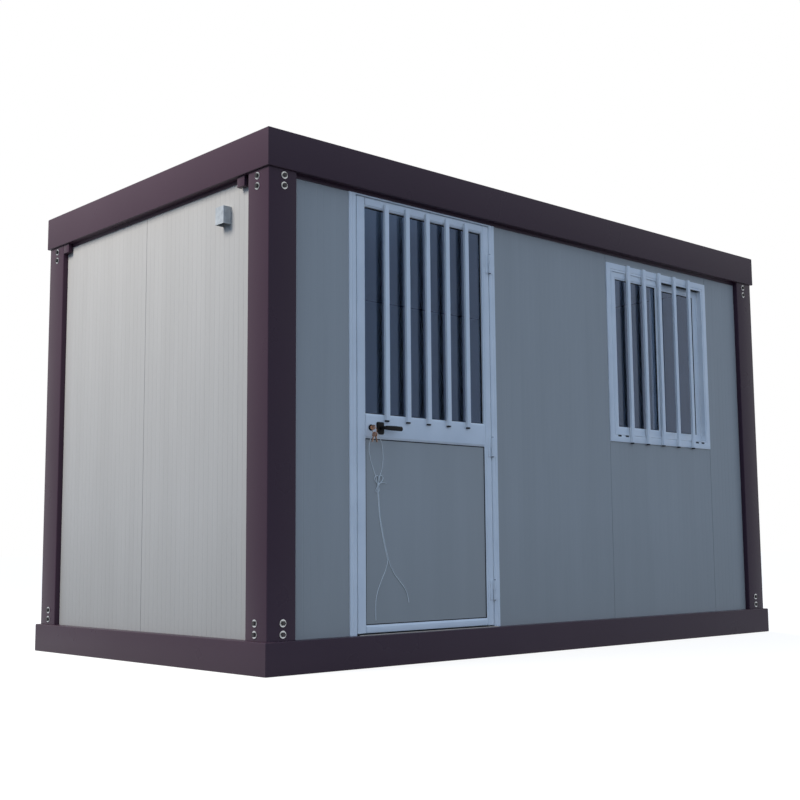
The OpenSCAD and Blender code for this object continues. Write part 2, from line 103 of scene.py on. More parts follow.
def bar(profile, start, end, across, up, cut=(0, 0), ease=0):
    """A profile carried in a straight line: point j of row i is start or end, plus
    p_j times across, plus q_j times up. A mitre moves each end along the bar by
    cut times p_j. With ease, both ends have a ring that is drawn in by that much."""
    profile = np.asarray(profile, float)
    start, end = np.asarray(start, float), np.asarray(end, float)
    along = unit(end - start)
    across, up = np.asarray(across, float), np.asarray(up, float)
    middle = (profile.min(axis=0) + profile.max(axis=0)) / 2
    half = np.maximum((profile.max(axis=0) - profile.min(axis=0)) / 2, 1e-6)
    rows = []
    steps = [(0, 0, 1)] if not ease else [(0, 0, 1 - ease / half), (0, ease, 1)]
    for side, inset, scale in steps:
        rows.append((start, inset, scale, cut[0]))
    for side, inset, scale in steps[::-1]:
        rows.append((end, -inset, scale, cut[1]))
    points = []
    for origin, inset, scale, slope in rows:
        q = middle + (profile - middle) * scale
        points.append(origin + along * inset + q[:, :1] * across + q[:, 1:] * up
                      + (q[:, :1] * slope) * along)
    return outward(grid(points, wrap_v=True, cap=True))


def hoop(profile, low, high, axis_u, axis_v, outwards, origin=(0, 0, 0)):
    """A profile carried round a rectangle with mitred corners: at the corner with
    signs (s, t), profile point (p, q) lies p inwards from both edges and q along
    outwards, so row i, column j is the corner plus p_j times the diagonal inwards
    plus q_j times outwards. low and high are the rectangle's corners."""
    profile = np.asarray(profile, float)
    u, v, w = (np.asarray(a, float) for a in (axis_u, axis_v, outwards))
    rows = []
    for s, t in ((0, 0), (1, 0), (1, 1), (0, 1)):
        corner = (high[0] if s else low[0]) * u + (high[1] if t else low[1]) * v
        diagonal = (-u if s else u) + (-v if t else v)
        rows.append(np.asarray(origin, float) + corner + profile[:, :1] * diagonal
                    + profile[:, 1:] * w)
    return outward(grid(rows, wrap_u=True, wrap_v=True))


def turned(profile, centre, axis, sides=32, flat=None):
    """A profile of radius and height turned round an axis: row i, column j is the
    centre plus h_i along the axis plus r_i at angle 2 pi j / sides. flat gives the
    columns' own radius, such as a hexagon's, as a share of r_i."""
    axis = unit(axis)
    side = unit(np.cross(axis, (0.0, 0.0, 1.0) if abs(axis[2]) < 0.9 else (1.0, 0.0, 0.0)))
    other = np.cross(axis, side)
    angle = 2 * np.pi * np.arange(sides) / sides
    ring = np.cos(angle)[:, None] * side + np.sin(angle)[:, None] * other
    if flat is not None:
        ring = ring * flat(angle)[:, None]
    r = np.array([max(p[0], 0.02) for p in profile])[:, None, None]
    h = np.array([p[1] for p in profile])[:, None, None]
    return outward(grid(np.asarray(centre, float) + r * ring + h * axis, wrap_v=True, cap=True))


def tube(path, radius, sides=12, closed=False):
    """A round tube: at each point of the path a ring of the given radius stands square
    to the path, on a direction carried from point to point."""
    p = np.asarray(path, float)
    ahead = np.roll(p, -1, axis=0) if closed else np.vstack([p[1:], p[-1:]])
    behind = np.roll(p, 1, axis=0) if closed else np.vstack([p[:1], p[:-1]])
    t = ahead - behind
    t /= np.linalg.norm(t, axis=1)[:, None]
    plane = np.linalg.svd(p - p.mean(axis=0))[2][-1] if len(p) > 2 else np.array((0.31, 0.2, 0.93))
    n = np.cross(t, plane)
    n /= np.linalg.norm(n, axis=1)[:, None]
    m = np.cross(t, n)
    angle = 2 * np.pi * np.arange(sides) / sides
    r = np.broadcast_to(np.asarray(radius, float), (len(p),))[:, None, None]
    points = (p[:, None, :] + r * (np.cos(angle)[None, :, None] * n[:, None, :]
              + np.sin(angle)[None, :, None] * m[:, None, :]))
    return outward(grid(points, wrap_u=closed, wrap_v=True, cap=not closed))


def smooth_path(points, count):
    """A smooth curve through the points: a Catmull-Rom cubic between each pair."""
    p = np.asarray(points, float)
    q = np.vstack([2 * p[0] - p[1], p, 2 * p[-1] - p[-2]])
    s = np.linspace(0, len(p) - 1, count)
    i = np.minimum(s.astype(int), len(p) - 2)
    t = (s - i)[:, None]
    a, b, c, d = q[i], q[i + 1], q[i + 2], q[i + 3]
    return 0.5 * (2 * b + (c - a) * t + (2 * a - 5 * b + 4 * c - d) * t ** 2
                  + (3 * b - a - 3 * c + d) * t ** 3)


def rounded(corners, radius, steps=3):
    """An outline with round corners: each corner becomes points on the quadratic
    between the places that lie the radius away along its two sides."""
    c = np.asarray(corners, float)
    before, after = np.roll(c, 1, axis=0), np.roll(c, -1, axis=0)
    r = np.broadcast_to(np.asarray(radius, float), (len(c),))[:, None]
    back, ahead = before - c, after - c
    lb = np.linalg.norm(back, axis=1)[:, None]
    la = np.linalg.norm(ahead, axis=1)[:, None]
    a = c + back / lb * np.minimum(r, lb * 0.48)
    b = c + ahead / la * np.minimum(r, la * 0.48)
    t = np.linspace(0, 1, steps + 1)[None, :, None]
    curve = (1 - t) ** 2 * a[:, None] + 2 * t * (1 - t) * c[:, None] + t ** 2 * b[:, None]
    return curve.reshape(-1, 2)


def oblong(width, height, radius=1.0, steps=3):
    """A rectangle about the origin with round corners."""
    w, h = width / 2, height / 2
    return rounded([(-w, -h), (w, -h), (w, h), (-w, h)], radius, steps)


def strip(points, thickness, radius=0.0, steps=3):
    """The outline of a folded sheet: the given line is its outer face, and the inner
    face is the same line moved square to each part, to the left, by the thickness."""
    p = np.asarray(points, float)
    d = np.diff(p, axis=0)
    d /= np.linalg.norm(d, axis=1)[:, None]
    n = np.stack([-d[:, 1], d[:, 0]], axis=1)
    inner = [p[0] + n[0] * thickness]
    for i in range(1, len(p) - 1):
        s = n[i - 1] + n[i]
        inner.append(p[i] + s * thickness / (1 + n[i - 1] @ n[i]))
    inner.append(p[-1] + n[-1] * thickness)
    k = len(p)
    line = np.vstack([p, np.array(inner)[::-1]])
    r = np.full(2 * k, 0.6)
    if radius:
        r[1:k - 1] = radius
        r[k + 1:2 * k - 1] = max(radius - thickness, 0.8)
    return rounded(line, r, steps)


def block(low, high, ease=0.8):
    """A block with eased edges: a round-cornered rectangle carried along Z."""
    low, high = np.asarray(low, float), np.asarray(high, float)
    size, middle = high - low, (low + high) / 2
    return bar(oblong(size[0], size[1], ease, 2), (middle[0], middle[1], low[2]),
               (middle[0], middle[1], high[2]), (1, 0, 0), (0, 1, 0), ease=min(ease, 0.4 * size[2]))


def piece(name, parts, body, finish, replaces=(), sharp=32.0):
    """Joins the parts, in mm, into one closed mesh in metres, which rides on a body."""
    counts = np.cumsum([0] + [len(v) for v, f in parts])
    verts = np.vstack([v for v, f in parts]) * MM
    faces = [[i + c for i in face] for (v, f), c in zip(parts, counts) for face in f]
    mesh = bpy.data.meshes.new(name)
    mesh.from_pydata(verts.tolist(), [], faces)
    mesh.validate()
    mesh.polygons.foreach_set("use_smooth", np.ones(len(mesh.polygons), bool))
    mesh.set_sharp_from_angle(angle=math.radians(sharp))
    mesh.update()
    obj = bpy.data.objects.new(name, mesh)
    bpy.context.scene.collection.objects.link(obj)
    mesh.materials.append(material(finish))
    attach(obj, body)
    if replaces:
        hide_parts(*replaces)
    return obj


# --------------------------------------------------------------- materials

def linear(code, alpha=1.0):
    """An sRGB hex colour turned to linear."""
    c = np.array([int(code[i:i + 2], 16) / 255 for i in (1, 3, 5)])
    c = np.where(c <= 0.04045, c / 12.92, ((c + 0.055) / 1.055) ** 2.4)
    return (*c.tolist(), alpha)


def add(tree, kind, settings=None, **links):
    """Adds a node, with its settings, and its inputs as values or as sockets."""
    node = tree.nodes.new(kind)
    for key, value in (settings or {}).items():
        setattr(node, key, value)
    for key, value in links.items():
        socket = node.inputs[int(key[1:])] if key[0] == "i" and key[1:].isdigit() \
            else node.inputs[key.replace("_", " ")]
        if isinstance(value, bpy.types.NodeSocket):
            tree.links.new(value, socket)
        else:
            socket.default_value = value
    return node


def ramp(tree, value, stops):
    """A colour ramp of (place, colour) stops on a value."""
    node = add(tree, "ShaderNodeValToRGB", i0=value)
    while len(node.color_ramp.elements) < len(stops):
        node.color_ramp.elements.new(0.5)
    for element, (place, colour) in zip(node.color_ramp.elements, stops):
        element.position = place
        element.color = colour
    return node.outputs[0]


def grey(v):
    return (v, v, v, 1.0)


def shader(tree, **settings):
    """The principled shader with its output; its constants stand on its own sockets."""
    node = add(tree, "ShaderNodeBsdfPrincipled", **settings)
    out = add(tree, "ShaderNodeOutputMaterial")
    tree.links.new(node.outputs[0], out.inputs[0])
    return node


def noise(tree, where, per_metre, detail=3.0, rough=0.5):
    return add(tree, "ShaderNodeTexNoise", Vector=where, Scale=per_metre, Detail=detail,
               Roughness=rough).outputs[0]


def shade(tree, fac, a, b):
    """Mixes two colours by a value."""
    node = add(tree, "ShaderNodeMix", {"data_type": "RGBA"})
    for socket, value in ((node.inputs[0], fac), (node.inputs[6], a), (node.inputs[7], b)):
        if isinstance(value, bpy.types.NodeSocket):
            tree.links.new(value, socket)
        else:
            socket.default_value = value
    return node.outputs[2]


def bump(tree, height, distance_mm, strength=0.5):
    return add(tree, "ShaderNodeBump", Height=height, Distance=distance_mm * MM,
               Strength=strength).outputs[0]


def stretched(tree, where, scale):
    return add(tree, "ShaderNodeMapping", Vector=where, Scale=scale).outputs[0]


# Powder-coated folded steel: an even dark plum brown, a fine orange peel of about
# 2 mm, and dust that lies thin and pale near the ground.
def powder_coat(tree, where):
    up = add(tree, "ShaderNodeSeparateXYZ", Vector=where).outputs[2]
    cloud = noise(tree, where, 3.0, 5.0)
    low = add(tree, "ShaderNodeMapRange", Value=up, i1=0.0, i2=0.5, i3=0.55, i4=0.0).outputs[0]
    dust = add(tree, "ShaderNodeMath", {"operation": "MULTIPLY"}, i0=low, i1=cloud).outputs[0]
    base = shade(tree, dust, linear(PAINT["frame"]), linear("#55454d"))
    base = shade(tree, noise(tree, where, 1.3, 2.0), base, linear("#3e2c38"))
    peel = noise(tree, where, 420.0, 2.0)
    shader(tree, Base_Color=base, Roughness=ramp(tree, cloud, [(0.3, grey(0.26)), (0.8, grey(0.36))]),
           i13=0.13, Normal=bump(tree, peel, 0.15, 0.15))


# Coil-coated steel skin on a foam core: light grey, satin, rolled with shallow ribs,
# and slightly greyer towards the ground.
def coated_skin(tree, where):
    up = add(tree, "ShaderNodeSeparateXYZ", Vector=where).outputs[2]
    streaks = noise(tree, stretched(tree, where, (9.0, 9.0, 0.7)), 1.0, 4.0)
    wear = ramp(tree, streaks, [(0.35, linear("#b4b1ab")), (0.7, linear("#b9b6b0"))])
    low = add(tree, "ShaderNodeMapRange", Value=up, i1=0.15, i2=0.75, i3=0.4, i4=0.0).outputs[0]
    base = shade(tree, low, wear, linear("#a29e96"))
    grain = noise(tree, where, 900.0, 2.0)
    shader(tree, Base_Color=base, Roughness=0.38, i13=0.1, Normal=bump(tree, grain, 0.05, 0.2))


# Foamed edge of a sandwich panel and its dark sealing tape, seen only in the joints.
def joint_seal(tree, where):
    base = ramp(tree, noise(tree, where, 200.0), [(0.3, linear("#26242a")), (0.7, linear("#34313a"))])
    shader(tree, Base_Color=base, Roughness=0.9, i13=0.2)


# Polyester-coated aluminium sections: clean white, semi gloss, faintly cloudy.
def white_section(tree, where):
    base = ramp(tree, noise(tree, where, 6.0, 4.0), [(0.3, linear("#e9ebec")), (0.75, linear("#f3f4f4"))])
    shader(tree, Base_Color=base, Roughness=ramp(tree, noise(tree, where, 30.0),
           [(0.3, grey(0.28)), (0.8, grey(0.36))]), i13=0.4,
           Normal=bump(tree, noise(tree, where, 500.0, 1.0), 0.06, 0.15))


# Clear float glass with a body tint that reads blue green in depth; the blue tint on its reflections is a painted
# sky reflection.
def float_glass(tree, where):
    # Specular Tint below is blue: a painted sky reflection on the glass
    shader(tree, Base_Color=linear("#b3c8e2"), Roughness=0.02, IOR=1.52, i18=1.0,
           i14=linear("#a9c8ff"))


# Hot-dip galvanised steel: metal with a spangle of crystals about 12 mm across.
def galvanised(tree, where):
    cells = add(tree, "ShaderNodeTexVoronoi", Vector=where, Scale=80.0)
    tone = ramp(tree, cells.outputs[1], [(0.0, linear("#8f969a")), (1.0, linear("#b6bcc0"))])
    shader(tree, Base_Color=tone, Metallic=0.85,
           Roughness=ramp(tree, cells.outputs[1], [(0.0, grey(0.34)), (1.0, grey(0.52))]))


# Folded zinc sheet left to weather: dull pale grey with soft darker clouds.
def weathered_zinc(tree, where):
    base = ramp(tree, noise(tree, where, 45.0, 4.0), [(0.3, linear("#a3a8aa")), (0.7, linear("#bcc1c2"))])
    shader(tree, Base_Color=base, Metallic=0.15, Roughness=0.5, i13=0.3)


# Blackened bolt heads: dark steel with a trace of oil.
def blackened_steel(tree, where):
    base = ramp(tree, noise(tree, where, 300.0), [(0.3, linear("#2b292c")), (0.7, linear("#3d3a3d"))])
    shader(tree, Base_Color=base, Metallic=0.6, Roughness=0.45)


# Zinc-plated bolts, washers and rivets: bright pale metal, finely scratched.
def zinc_plate(tree, where):
    base = ramp(tree, noise(tree, where, 400.0, 3.0), [(0.3, linear("#9da1a5")), (0.7, linear("#c6c9ca"))])
    shader(tree, Base_Color=base, Metallic=1.0, Roughness=0.34)


# Glazing rubber: matt black with a faint bloom; the same black also paints shade in the window's track and inside
# the bar tubes' ends.
def glazing_rubber_and_painted_shade(tree, where):
    base = ramp(tree, noise(tree, where, 60.0), [(0.3, linear("#131417")), (0.7, linear("#212327"))])
    shader(tree, Base_Color=base, Roughness=0.75, i13=0.3)


# Glass-filled nylon handle: black, moulded, with a fine 1 mm grain.
def black_nylon(tree, where):
    base = ramp(tree, noise(tree, where, 90.0), [(0.3, linear("#08080a")), (0.7, linear("#101013"))])
    shader(tree, Base_Color=base, Roughness=0.5, i13=0.12, Normal=bump(tree, noise(tree, where, 1000.0), 0.05, 0.3))


# Cast and milled brass with a coppery tarnish in patches of a few millimetres.
def worn_brass(tree, where):
    base = ramp(tree, noise(tree, where, 260.0, 4.0), [(0.35, linear("#8d6c5c")), (0.7, linear("#b99c88"))])
    shader(tree, Base_Color=base, Metallic=1.0, Roughness=0.36)


# Twisted polyester string: off white, fibrous, with a lay of about 4 mm.
def polyester_string(tree, where):
    lay = add(tree, "ShaderNodeTexWave", {"bands_direction": "DIAGONAL"}, Vector=where, Scale=420.0,
              Distortion=1.5).outputs[1]
    base = ramp(tree, lay, [(0.1, linear("#dcdcd6")), (0.6, linear("#fafaf6"))])
    shader(tree, Base_Color=base, Roughness=0.85, i24=0.3, Normal=bump(tree, lay, 0.5, 0.6))


# Phenolic-faced plywood floor: grey brown film with a mesh print and scuffs.
def faced_plywood(tree, where):
    mesh_print = add(tree, "ShaderNodeTexVoronoi", {"feature": "DISTANCE_TO_EDGE"}, Vector=where,
                     Scale=220.0).outputs[0]
    scuffs = noise(tree, stretched(tree, where, (2.0, 9.0, 1.0)), 1.0, 6.0)
    base = ramp(tree, scuffs, [(0.3, linear("#75736f")), (0.75, linear("#8f8c86"))])
    shader(tree, Base_Color=base, Roughness=0.62, Normal=bump(tree, mesh_print, 0.4, 0.3))


# Mill-finish aluminium threshold: the part under the leaf is painted dark as the leaf's shade, and only its front
# edge keeps the metal's colour.
def threshold_metal(tree, where):
    grain = noise(tree, stretched(tree, where, (4.0, 300.0, 300.0)), 1.0, 3.0)
    base = ramp(tree, grain, [(0.3, linear("#a2978b")), (0.7, linear("#c9bdae"))])
    depth = add(tree, "ShaderNodeSeparateXYZ", Vector=where).outputs[1]
    # painted shade: the threshold turns dark behind its front edge, where the leaf shades it
    under = add(tree, "ShaderNodeMapRange", Value=depth, i1=-1.052, i2=-1.044, i3=0.0, i4=1.0).outputs[0]
    shader(tree, Base_Color=shade(tree, under, base, linear("#1d1a1f")), Metallic=0.2, Roughness=0.55,
           Normal=bump(tree, grain, 0.1, 0.3))


PAINT = {"frame": "#45313e"}
FINISHES = {f.__name__: f for f in (
    powder_coat, coated_skin, joint_seal, white_section, float_glass, galvanised, weathered_zinc,
    zinc_plate, blackened_steel, glazing_rubber_and_painted_shade, black_nylon, worn_brass, polyester_string,
    faced_plywood, threshold_metal)}


def material(finish):
    """The material of that finish, made once; every pattern reads Object coordinates."""
    found = bpy.data.materials.get(finish)
    if found:
        return found
    made = bpy.data.materials.new(finish)
    made.use_nodes = True
    tree = made.node_tree
    tree.nodes.clear()
    where = add(tree, "ShaderNodeTexCoord").outputs["Object"]
    FINISHES[finish](tree, where)
    return made


def finish_node(finish, *nodes):
    """Gives CAD nodes whose shape stays their material."""
    for name in nodes:
        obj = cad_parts[name]
        obj.data.materials.clear()
        obj.data.materials.append(material(finish))


# -------------------------------------------------------------- properties

def size(name, text, default):
    return FloatProperty(name=name, description=text, default=default * MM, min=0.0,
                         unit="LENGTH", subtype="DISTANCE")


class CabinSizes(bpy.types.PropertyGroup):
    """Sizes of the folded steel, the sections and the fixings."""
    bend: size("Bend radius", "Outer radius of the folded steel frame's bends", 6.0)
    sheet: size("Frame steel", "Thickness of the frame's steel", 5.0)
    rib_pitch: size("Rib pitch", "Distance between the wall skin's shallow ribs", 40.0)
    rib_depth: size("Rib depth", "Depth of the wall skin's shallow ribs", 0.8)
    bolt_in: size("Bolt inset", "Distance of the post bolts from the post's corner edge", 88.0)
    washer: size("Washer", "Radius of the post bolts' washers", 17.5)
    string: size("String", "Radius of one strand of the key string", 1.9)
    bar_width: size("Bar width", "Width of a guard bar", 26.0)
    bar_count: IntProperty(name="Bars", description="Guard bars on each opening", default=5, min=1)


class CabinStudio(bpy.types.PropertyGroup):
    """Camera, lamps and background."""
    lens: FloatProperty(name="Lens", description="Focal length", default=55.69, unit="CAMERA")
    place: FloatVectorProperty(name="Camera", description="Where the camera stands",
                               default=(-5.211, -5.452, 0.540), subtype="XYZ", unit="LENGTH")
    heading: FloatProperty(name="Heading", description="Turn from +Y towards +X",
                           default=math.radians(42.458), unit="ROTATION")
    pitch: FloatProperty(name="Pitch", description="Tilt above level",
                         default=math.radians(6.903), unit="ROTATION")
    roll: FloatProperty(name="Roll", description="Turn about the line of sight",
                        default=math.radians(-0.4438), unit="ROTATION")
    sky: FloatVectorProperty(name="Sky light", description="Colour of the even light from above",
                             default=(0.41, 0.56, 0.81), subtype="COLOR", min=0.0, max=4.0)
    ground: FloatVectorProperty(name="Ground light", description="Light that the floor throws back",
                                default=(0.13, 0.14, 0.15), subtype="COLOR", min=0.0, max=1.0)
    key: FloatProperty(name="Key lamp", description="Power of the lamp to the left", default=312.0)
    rear: FloatProperty(name="Rear lamp", description="Power of the lamp behind", default=330.0)


# -------------------------------------------------------------- the pieces

def placed(x, y, z, place):
    """A matrix whose columns are three axes and a place."""
    m = np.eye(4)
    m[:3, 0], m[:3, 1], m[:3, 2], m[:3, 3] = x, y, z, place
    return Matrix(m.tolist())


class CABIN_OT_studio(bpy.types.Operator):
    """Camera, soft lamps, pale floor and white background"""
    bl_idname = "cabin.studio"
    bl_label = "Studio"

    def execute(self, context):
        s = context.scene.cabin_studio
        c, p, r = s.heading, s.pitch, s.roll
        ahead = np.array([math.sin(c) * math.cos(p), math.cos(c) * math.cos(p), math.sin(p)])
        right = np.array([math.cos(c), -math.sin(c), 0.0])
        up = np.cross(right, ahead)
        x = math.cos(r) * right + math.sin(r) * up
        y = -math.sin(r) * right + math.cos(r) * up
        data = bpy.data.cameras.new("camera")
        data.lens, data.sensor_width = s.lens, 36.0
        data.clip_end = 400.0
        camera = bpy.data.objects.new("camera", data)
        context.scene.collection.objects.link(camera)
        camera.matrix_world = placed(x, y, -ahead, s.place)
        context.scene.camera = camera

        for name, power, colour, place, target, width, height in (
                ("key", s.key, (1.0, 0.95, 0.9), (-5.7, 0.6, 5.3), (-2.0, 0.2, 1.3), 2.4, 2.4),
                ("rear", s.rear, (1.0, 0.98, 0.96), (5.0, 6.2, 4.6), (0.5, 0.5, 1.2), 3.0, 2.4)):
            light = bpy.data.lights.new(name, "AREA")
            light.energy, light.color, light.shape = power, colour, "RECTANGLE"
            light.size, light.size_y = width, height
            obj = bpy.data.objects.new(name, light)
            context.scene.collection.objects.link(obj)
            z = unit(np.subtract(place, target))
            across = unit(np.cross((0, 0, 1), z))
            obj.matrix_world = placed(across, np.cross(z, across), z, place)
            obj.visible_camera = False
            obj.visible_glossy = False

        world = bpy.data.worlds.new("studio")
        context.scene.world = world
        world.use_nodes = True
        tree = world.node_tree
        tree.nodes.clear()
        seen = self.seen(tree)
        colour = shade(tree, seen, (*s.sky, 1.0), grey(1.0))
        background = add(tree, "ShaderNodeBackground", Color=colour)
        out = add(tree, "ShaderNodeOutputWorld")
        tree.links.new(background.outputs[0], out.inputs[0])

        angle = 2 * np.pi * np.arange(96) / 96
        ring = np.stack([np.cos(angle), np.sin(angle), np.zeros(96)], axis=1)
        points = [ring * radius for radius in (0.5, 6.0, 30.0, 150.0)]
        verts, faces = grid(points, wrap_v=True)
        faces.append(list(range(96)))
        mesh = bpy.data.meshes.new("floor")
        mesh.from_pydata(verts.tolist(), [], faces)
        normal = mesh.polygons[0].normal
        if normal.z < 0:
            mesh.flip_normals()
        floor = bpy.data.objects.new("floor", mesh)
        context.scene.collection.objects.link(floor)
        mesh.materials.append(self.floor_finish(s))
        context.scene.view_settings.view_transform = "Standard"
        return {"FINISHED"}

    def seen(self, tree):
        """1 for camera, mirror and glass rays."""
        path = add(tree, "ShaderNodeLightPath")
        total = path.outputs["Is Camera Ray"]
        for name in ("Is Glossy Ray", "Is Transmission Ray"):
            total = add(tree, "ShaderNodeMath", {"operation": "MAXIMUM"}, i0=total,
                        i1=path.outputs[name]).outputs[0]
        return total

    def floor_finish(self, s):
        """A matt pale floor: seen directly it is white and keeps the shadow, and what
        it throws back is the ground light."""
        made = bpy.data.materials.new("studio_floor")
        made.use_nodes = True
        tree = made.node_tree
        tree.nodes.clear()
        seen = self.seen(tree)
        diffuse = add(tree, "ShaderNodeBsdfDiffuse", Color=shade(tree, seen, (*s.ground, 1.0), grey(0.3)))
        glow = add(tree, "ShaderNodeEmission", Color=(1.0, 0.985, 0.955, 1.0), Strength=add(
            tree, "ShaderNodeMath", {"operation": "MULTIPLY"}, i0=seen, i1=0.87).outputs[0])
        both = add(tree, "ShaderNodeAddShader", i0=diffuse.outputs[0], i1=glow.outputs[0])
        out = add(tree, "ShaderNodeOutputMaterial")
        tree.links.new(both.outputs[0], out.inputs[0])
        return made


# The two strands' routes, in mm from the middle of the cabin's ground rectangle
STRING_LONG = [
    (631, 17, 1094.6), (629, 21, 1080), (630, 29, 1063), (632, 40, 1042),
    (636, 48, 1012), (645, 50, 976), (657, 50, 941), (670, 50, 909),
    (682, 50, 880), (689, 50, 850), (690, 50, 815), (694, 50, 770),
    (698, 50, 725), (705, 50, 676), (717, 50, 620), (732, 50, 560),
    (745, 50, 515), (750, 50, 485), (738, 50, 445), (712, 50, 398),
    (690, 50, 352), (677, 50, 310), (674, 50, 260), (675, 50, 212)]
STRING_SHORT = [
    (659, 17, 1095.1), (667, 20, 1088), (682, 27, 1077), (701, 36, 1060),
    (716, 44, 1038), (724, 49, 1005), (726, 50, 966), (721, 50, 932),
    (711, 50, 904), (701, 50, 877), (694.5, 50, 850), (695, 50, 815),
    (699, 50, 770), (703, 50, 725), (710, 50, 676), (722, 50, 620),
    (737, 50, 560), (751, 50, 515), (762, 50, 482), (780, 50, 448),
    (803, 50, 417), (836, 50, 384), (863, 50, 354), (879, 50, 324), (887, 50, 288)]
CORNER = np.array((-2000.0, -1075.0, 0.0))


class CABIN_OT_string(bpy.types.Operator):
    """The key string: two strands hanging from the ring, tied together by a bow"""
    bl_idname = "cabin.string"
    bl_label = "Key string"

    def execute(self, context):
        radius = context.scene.cabin_sizes.string / MM
        bow = self.bow(radius)
        for name, route, node, extra in (
                ("string_strand_long", STRING_LONG, "key_string_long", [bow]),
                ("string_strand_short", STRING_SHORT, "key_string_short", [])):
            points = (np.array(route) + CORNER) * MM
            curve = bpy.data.curves.new(name, "CURVE")
            curve.dimensions = "3D"
            spline = curve.splines.new("POLY")
            fine = smooth_path(points, 6 * len(points))
            spline.points.add(len(fine) - 1)
            spline.points.foreach_set("co", np.hstack([fine, np.ones((len(fine), 1))]).ravel())
            curve.bevel_depth = radius * MM
            curve.bevel_resolution = 3
            curve.use_fill_caps = True
            strand = bpy.data.objects.new(name, curve)
            context.scene.collection.objects.link(strand)
            curve.materials.append(material("polyester_string"))
            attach(strand, "door")
            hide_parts(node)
        return {"FINISHED"}

    def bow(self, radius):
        """The bow's knot and loops: each loop is a closed drop, x = w sin t and
        z = -h (1 - cos t) / 2, turned about the knot, in front of the strands."""
        knot = np.array((693.0, 46.5, 846.0)) + CORNER
        parts = []
        for width, height, turn in ((20.0, 50.0, 0.45), (22.0, 46.0, -0.3), (16.0, -34.0, 0.25)):
            t = np.linspace(0, 2 * np.pi, 40, endpoint=False)
            x, z = width * np.sin(t) * np.sin(t / 2) ** 2, height * (1 - np.cos(t)) / 2
            path = np.stack([x * math.cos(turn) + z * math.sin(turn), 0 * t,
                             -x * math.sin(turn) + z * math.cos(turn)], axis=1)
            parts.append(tube(knot + path, radius, 8, closed=True))
        t = np.linspace(0, 2 * np.pi, 24, endpoint=False)
        for lift, tilt in ((0.0, 0.25), (3.0, -0.2)):
            path = np.stack([5.6 * np.cos(t), 4.4 * np.sin(t) + 1.2, lift + tilt * 5 * np.cos(t)], axis=1)
            parts.append(tube(knot + path, radius, 8, closed=True))
        tail = np.array([(0, 1.5, 0), (14, 2, 10), (30, 3, 14), (44, 3, 12), (56, 3, 11)], float)
        parts.append(tube(knot + smooth_path(tail, 30), radius * 0.8, 8))
        return piece("string_bow", parts, "door", "polyester_string", sharp=80)


